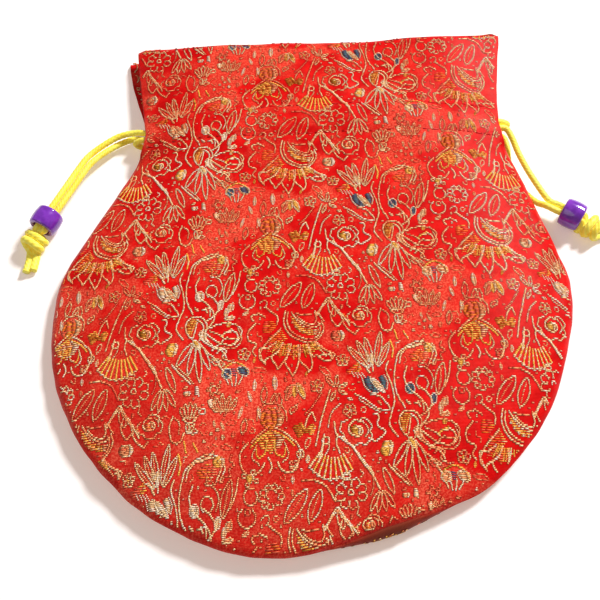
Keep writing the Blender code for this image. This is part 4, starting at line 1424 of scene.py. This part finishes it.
WEFT = 0.44             # between the rows of threads, in millimetres
SPARE = 0.09            # how far a thread runs past its line
LONGEST = 1.7           # thread that is laid as one piece
THREAD_CLEAR = 0.00005  # a thread lies this far over the ground
THREAD_RISE = 0.00014   # and it rises by this much
THREAD_FULLNESS = 0.95
FINE_STEP = 0.18        # at which a line is followed to find its rows
END_SHARE = 0.3         # of a fill thread, in the other tone at its right end
SHORTEST = 0.05
PARTING = 0.02          # at each end of a thread
SHADE_HALO_CLEAR = 0.000015
SEAM_BARE = 0.0009      # no threads this near the seam, in metres
HEM_BARE = 0.0030       # nor this near the hem
MM = 1000               # millimetres in a metre
EDGE_SHADE = Vector((0.98, 0.72, 0.58))
SHADE_HALO = 0.00009        # a dark halo of painted shade shows this far round a thread
BAND_MIDDLE = -41.5     # blue-grey threads are woven in bands of rows
BAND_HALF = 7.5
MIXES = {"beige": ("rose", "beige", "beige", "cream", "cream", "white"),
         "cream": ("beige", "beige", "cream", "cream", "white", "white"),
         "rose": ("rose", "rose", "rose", "beige", "beige", "cream"),
         "gold": ("olive", "gold", "gold", "gold", "cream"),
         "olive": ("olive", "olive", "gold"),
         "orange": ("orange", "rose", "orange", "gold"),
         "white": ("cream", "white", "white"),
         "slate": ("slate", "teal"),
         "red": ("red",),
         "mauve": ("mauve", "slate", "rose")}


def chance(*values):
    """A share from 0 to 1 that looks random and is the same each run."""
    return math.sin(sum(v * k for v, k in zip(values, (12.9898, 78.233, 37.719)))) * 43758.5453 % 1


def glint(x, y):
    """How bright the threads of a part of the cloth lie, from 0 to 1."""
    return clamp(0.5 + 0.32 * math.sin(x / 7.3 + 1.1 * math.sin(y / 13 + 0.6))
                 + 0.30 * math.sin(y / 8.9 - x / 17 + 2.1) - 0.25 * smooth((y - 30) / 20))


def in_band(y):
    return abs((y - BAND_MIDDLE + ALONG_REPEAT.y / 2) % ALONG_REPEAT.y - ALONG_REPEAT.y / 2) < BAND_HALF


def thread_rows():
    """Every thread of one repeat as (left, right, y, tone, width)."""
    rows = []
    for points, tone, width in LINES:
        spans = []
        fine = []
        for a, b in zip(points, points[1:]):
            count = max(1, math.ceil((b - a).length / FINE_STEP))
            fine += [a.lerp(b, i / count) for i in range(count)]
        for p in fine + [points[-1]]:
            row = round(p.y / WEFT)
            if spans and spans[-1][0] == row:
                _, left, right = spans[-1]
                spans[-1] = row, min(left, p.x), max(right, p.x)
            else:
                spans.append((row, p.x, p.x))
        rows += [(left - SPARE - width / 4, right + SPARE + width / 4, row * WEFT, tone, width)
                 for row, left, right in spans]
    for left, right, y, tone, width, ends in FILLS:
        cut = right - END_SHARE * (right - left) if ends else right
        rows.append((left, cut, y, tone, width))
        if ends:
            rows.append((cut, right, y, ends, width))
    out = []
    for left, right, y, tone, width in rows:
        at = left
        while right - at > SHORTEST:
            far = min(right, at + LONGEST * (0.5 + chance(at, y)))
            out.append((at + PARTING, far - PARTING, y, tone, width))
            at = far
    return out


def pattern_place(s, t):
    """Where a place on the cloth lies in the pattern, in millimetres."""
    y = 2 * FOLD_Y - t if t > FOLD_Y else t
    return (s + centre_x(y)) * MM, t * MM


def on_panel(x, y):
    """The place on the cloth of a place in the pattern, if it is on the cloth."""
    t = y / MM
    height = 2 * FOLD_Y - t if t > FOLD_Y else t
    s = x / MM - centre_x(height)
    if t > 2 * FOLD_Y - SEAM_TOP_Y - HEM_BARE or t < BASE_Y - BODY_RADIUS:
        return None
    _, _, _, depth = on_cloth(s, t)
    return (s, t) if depth > SEAM_BARE else None


def repeats():
    for i in range(-3, 4):
        for j in range(-3, 4):
            yield i, ACROSS_REPEAT * i + ALONG_REPEAT * (j + i // 2)


WIDEST = 80             # threads beyond these aren't tried
LOWEST = -86
HIGHEST = 130
STITCH_STEP = 2.8       # from one stitch of the channel's seams to the next
STITCH_LENGTH = 2.1
STITCH_WIDTH = 0.45
STITCHES_ASIDE = 21
NECK_FROM = 8           # the figures of the neck's part start at this height
THIN = 0.35             # a finer thread has no halo of painted shade
FINE_FILL = 0.40        # only such threads change colour in the bands
CHANGE_STEP = 9         # fills this near one another change together
CHANGE_SHARE = 0.6


def threads_laid(panel_rows, shift):
    """(column, left, right, y, tone, width) of each thread of a panel: the figures'
    repeats, and the stitches that close the cord's channel."""
    for column, offset in repeats():
        for left, right, y, tone, width in panel_rows:
            place = offset + shift
            yield column, left + place.x, right + place.x, y + place.y, tone, width
    for seam in (STITCH_Y, HEM_Y):
        for i in range(-STITCHES_ASIDE, STITCHES_ASIDE + 1):
            left = i * STITCH_STEP
            yield 0, left, left + STITCH_LENGTH, seam * MM, "red", STITCH_WIDTH


def figures(name, lay, way, shift, look, panel_rows):
    """Raised threads on a panel, in pieces for its lower part and its neck."""
    meshes = {}
    for part in ("lower", "upper"):
        bm = bmesh.new()
        meshes[part] = bm, bm.loops.layers.float_color.new("thread"), []
    for column, x0, x1, y0, tone, width in threads_laid(panel_rows, shift):
        if max(-x0, x1) > WIDEST or not LOWEST < y0 < HIGHEST:
            continue
        a, b = on_panel(x0, y0), on_panel(x1, y0)
        if not (a and b):
            continue
        band = in_band(y0 - shift.y)
        if tone == "accent":
            tone_here = "slate" if band else "cream"
        elif (band and column % 2 and width <= FINE_FILL and tone in ("gold", "orange", "olive")
              and chance(round(x0 / CHANGE_STEP), 3) < CHANGE_SHARE):
            tone_here = "slate"
        else:
            tone_here = tone
        pick = MIXES[tone_here]
        draw = clamp(chance(x0, y0) * 0.55 + glint(x0, y0) * 0.5, 0, 0.999)
        tint = TONES[pick[int(draw * len(pick))]]
        bright = 0.92 + 0.22 * chance(y0, x0, 1)
        p, q = lay(*a), lay(*b)
        aside = lay(a[0], a[1] + 0.0005)
        normal = (q - p).cross(aside - p).normalized() * way
        up = normal.cross((q - p).normalized()) * width * THREAD_FULLNESS / 2 / MM
        base = normal * (CLOTH / 2 + THREAD_CLEAR)
        part = "lower" if y0 < NECK_FROM else "upper"
        bm, colour, shade_halos = meshes[part]
        face = bm.faces.new([bm.verts.new(v + base) for v in (p - up, q - up, q + up, p + up)])
        for loop in face.loops:
            loop[colour] = (tint[0] * bright, tint[1] * bright, tint[2] * bright, 1)
        # Painted shade: a dark red flat halo under each wider line thread, standing for its shade on the
        # ground.
        if width > THIN and tone in ("beige", "cream", "rose", "white", "accent", "red"):
            wide = up.normalized() * (width / 2 / MM + SHADE_HALO)
            end = (q - p).normalized() * SHADE_HALO
            base = normal * (CLOTH / 2 + SHADE_HALO_CLEAR)
            face = bm.faces.new([bm.verts.new(v + base) for v in
                                 (p - wide - end, q - wide + end, q + wide + end, p + wide - end)])
            for loop in face.loops:
                loop[colour] = (*TONES["painted_halo"], 1)
            shade_halos.append(face)
    pieces = []
    for part, (bm, colour, shade_halos) in meshes.items():
        low = set(shade_halos)
        tops = [f for f in bm.faces if f not in low]
        copied = bmesh.ops.duplicate(bm, geom=bm.faces[:])
        bottoms = [f for f in copied["geom"] if isinstance(f, bmesh.types.BMFace)]
        bmesh.ops.reverse_faces(bm, faces=bottoms)
        poked = bmesh.ops.poke(bm, faces=tops, offset=THREAD_RISE, center_mode='MEAN')
        ridge = set(poked["verts"])
        for face in poked["faces"]:
            for loop in face.loops:
                if loop.vert not in ridge:
                    red, green, blue, _ = loop[colour]
                    loop[colour] = (red * EDGE_SHADE.x, green * EDGE_SHADE.y, blue * EDGE_SHADE.z, 1)
        bmesh.ops.remove_doubles(bm, verts=bm.verts, dist=0.0000001)
        pieces.append(to_mesh(f"{name}_figures_{part}", bm, look, "pouch", "brocade"))
    return pieces


def thread_finish():
    look = Finish("silk_figure_threads", Roughness=0.38, Specular_IOR_Level=0.15)
    tint = look.node('VertexColor', {'layer_name': "thread"}, {})
    place = look.place()
    worn = look.range(look.noise(place, 1500, 2), 0.35, 0.7)
    look.feed("Base Color", look.blend(worn * 0.30, tint, (0.70, 0.45, 0.30), 'MULTIPLY'))
    look.feed("Roughness", look.range(look.noise(place, 2600, 2), 0.3, 0.7, 0.28, 0.5))
    return look.material


camera()
studio()
cord_look = cord_finish()
bead_look = bead_finish()
left_bead = bead("bead_left", LEFT_BEAD, LEFT_AXIS, bead_look)
right_bead = bead("bead_right", RIGHT_BEAD, RIGHT_AXIS, bead_look)
left_knot = knot("knot_left", LEFT_BEAD, LEFT_AXIS, LEFT_TAIL, cord_look)
right_knot = knot("knot_right", RIGHT_BEAD, RIGHT_AXIS, RIGHT_TAIL, cord_look)
for name, way, side, place, axis, reach, front, back, on_it in (
        ("drawcord_left", -1, 1, LEFT_BEAD, LEFT_AXIS, LEFT_STRAIGHT, LEFT_FRONT, LEFT_BACK,
         [left_bead] + left_knot),
        ("drawcord_right", 1, -1, RIGHT_BEAD, RIGHT_AXIS, RIGHT_STRAIGHT, RIGHT_FRONT, RIGHT_BACK,
         [right_bead] + right_knot)):
    strands = drawcord(name, way, side, place, axis, reach, front, back, cord_look)
    for (piece, run), extras in zip(strands, (on_it, ())):
        run_length(run)
red = cloth_finish()
silk = thread_finish()
draw_repeat()
small_figures()
all_rows = thread_rows()
for name, lay, facing, shift in (("front_panel", front_cloth, 1, Vector((0, 0))),
                                 ("back_panel", back_cloth, -1, Vector((19, 11)))):
    cloth = cloth_panel(name, lay, red, facing, shift)
    woven = figures(name, lay, facing, shift, silk, all_rows)
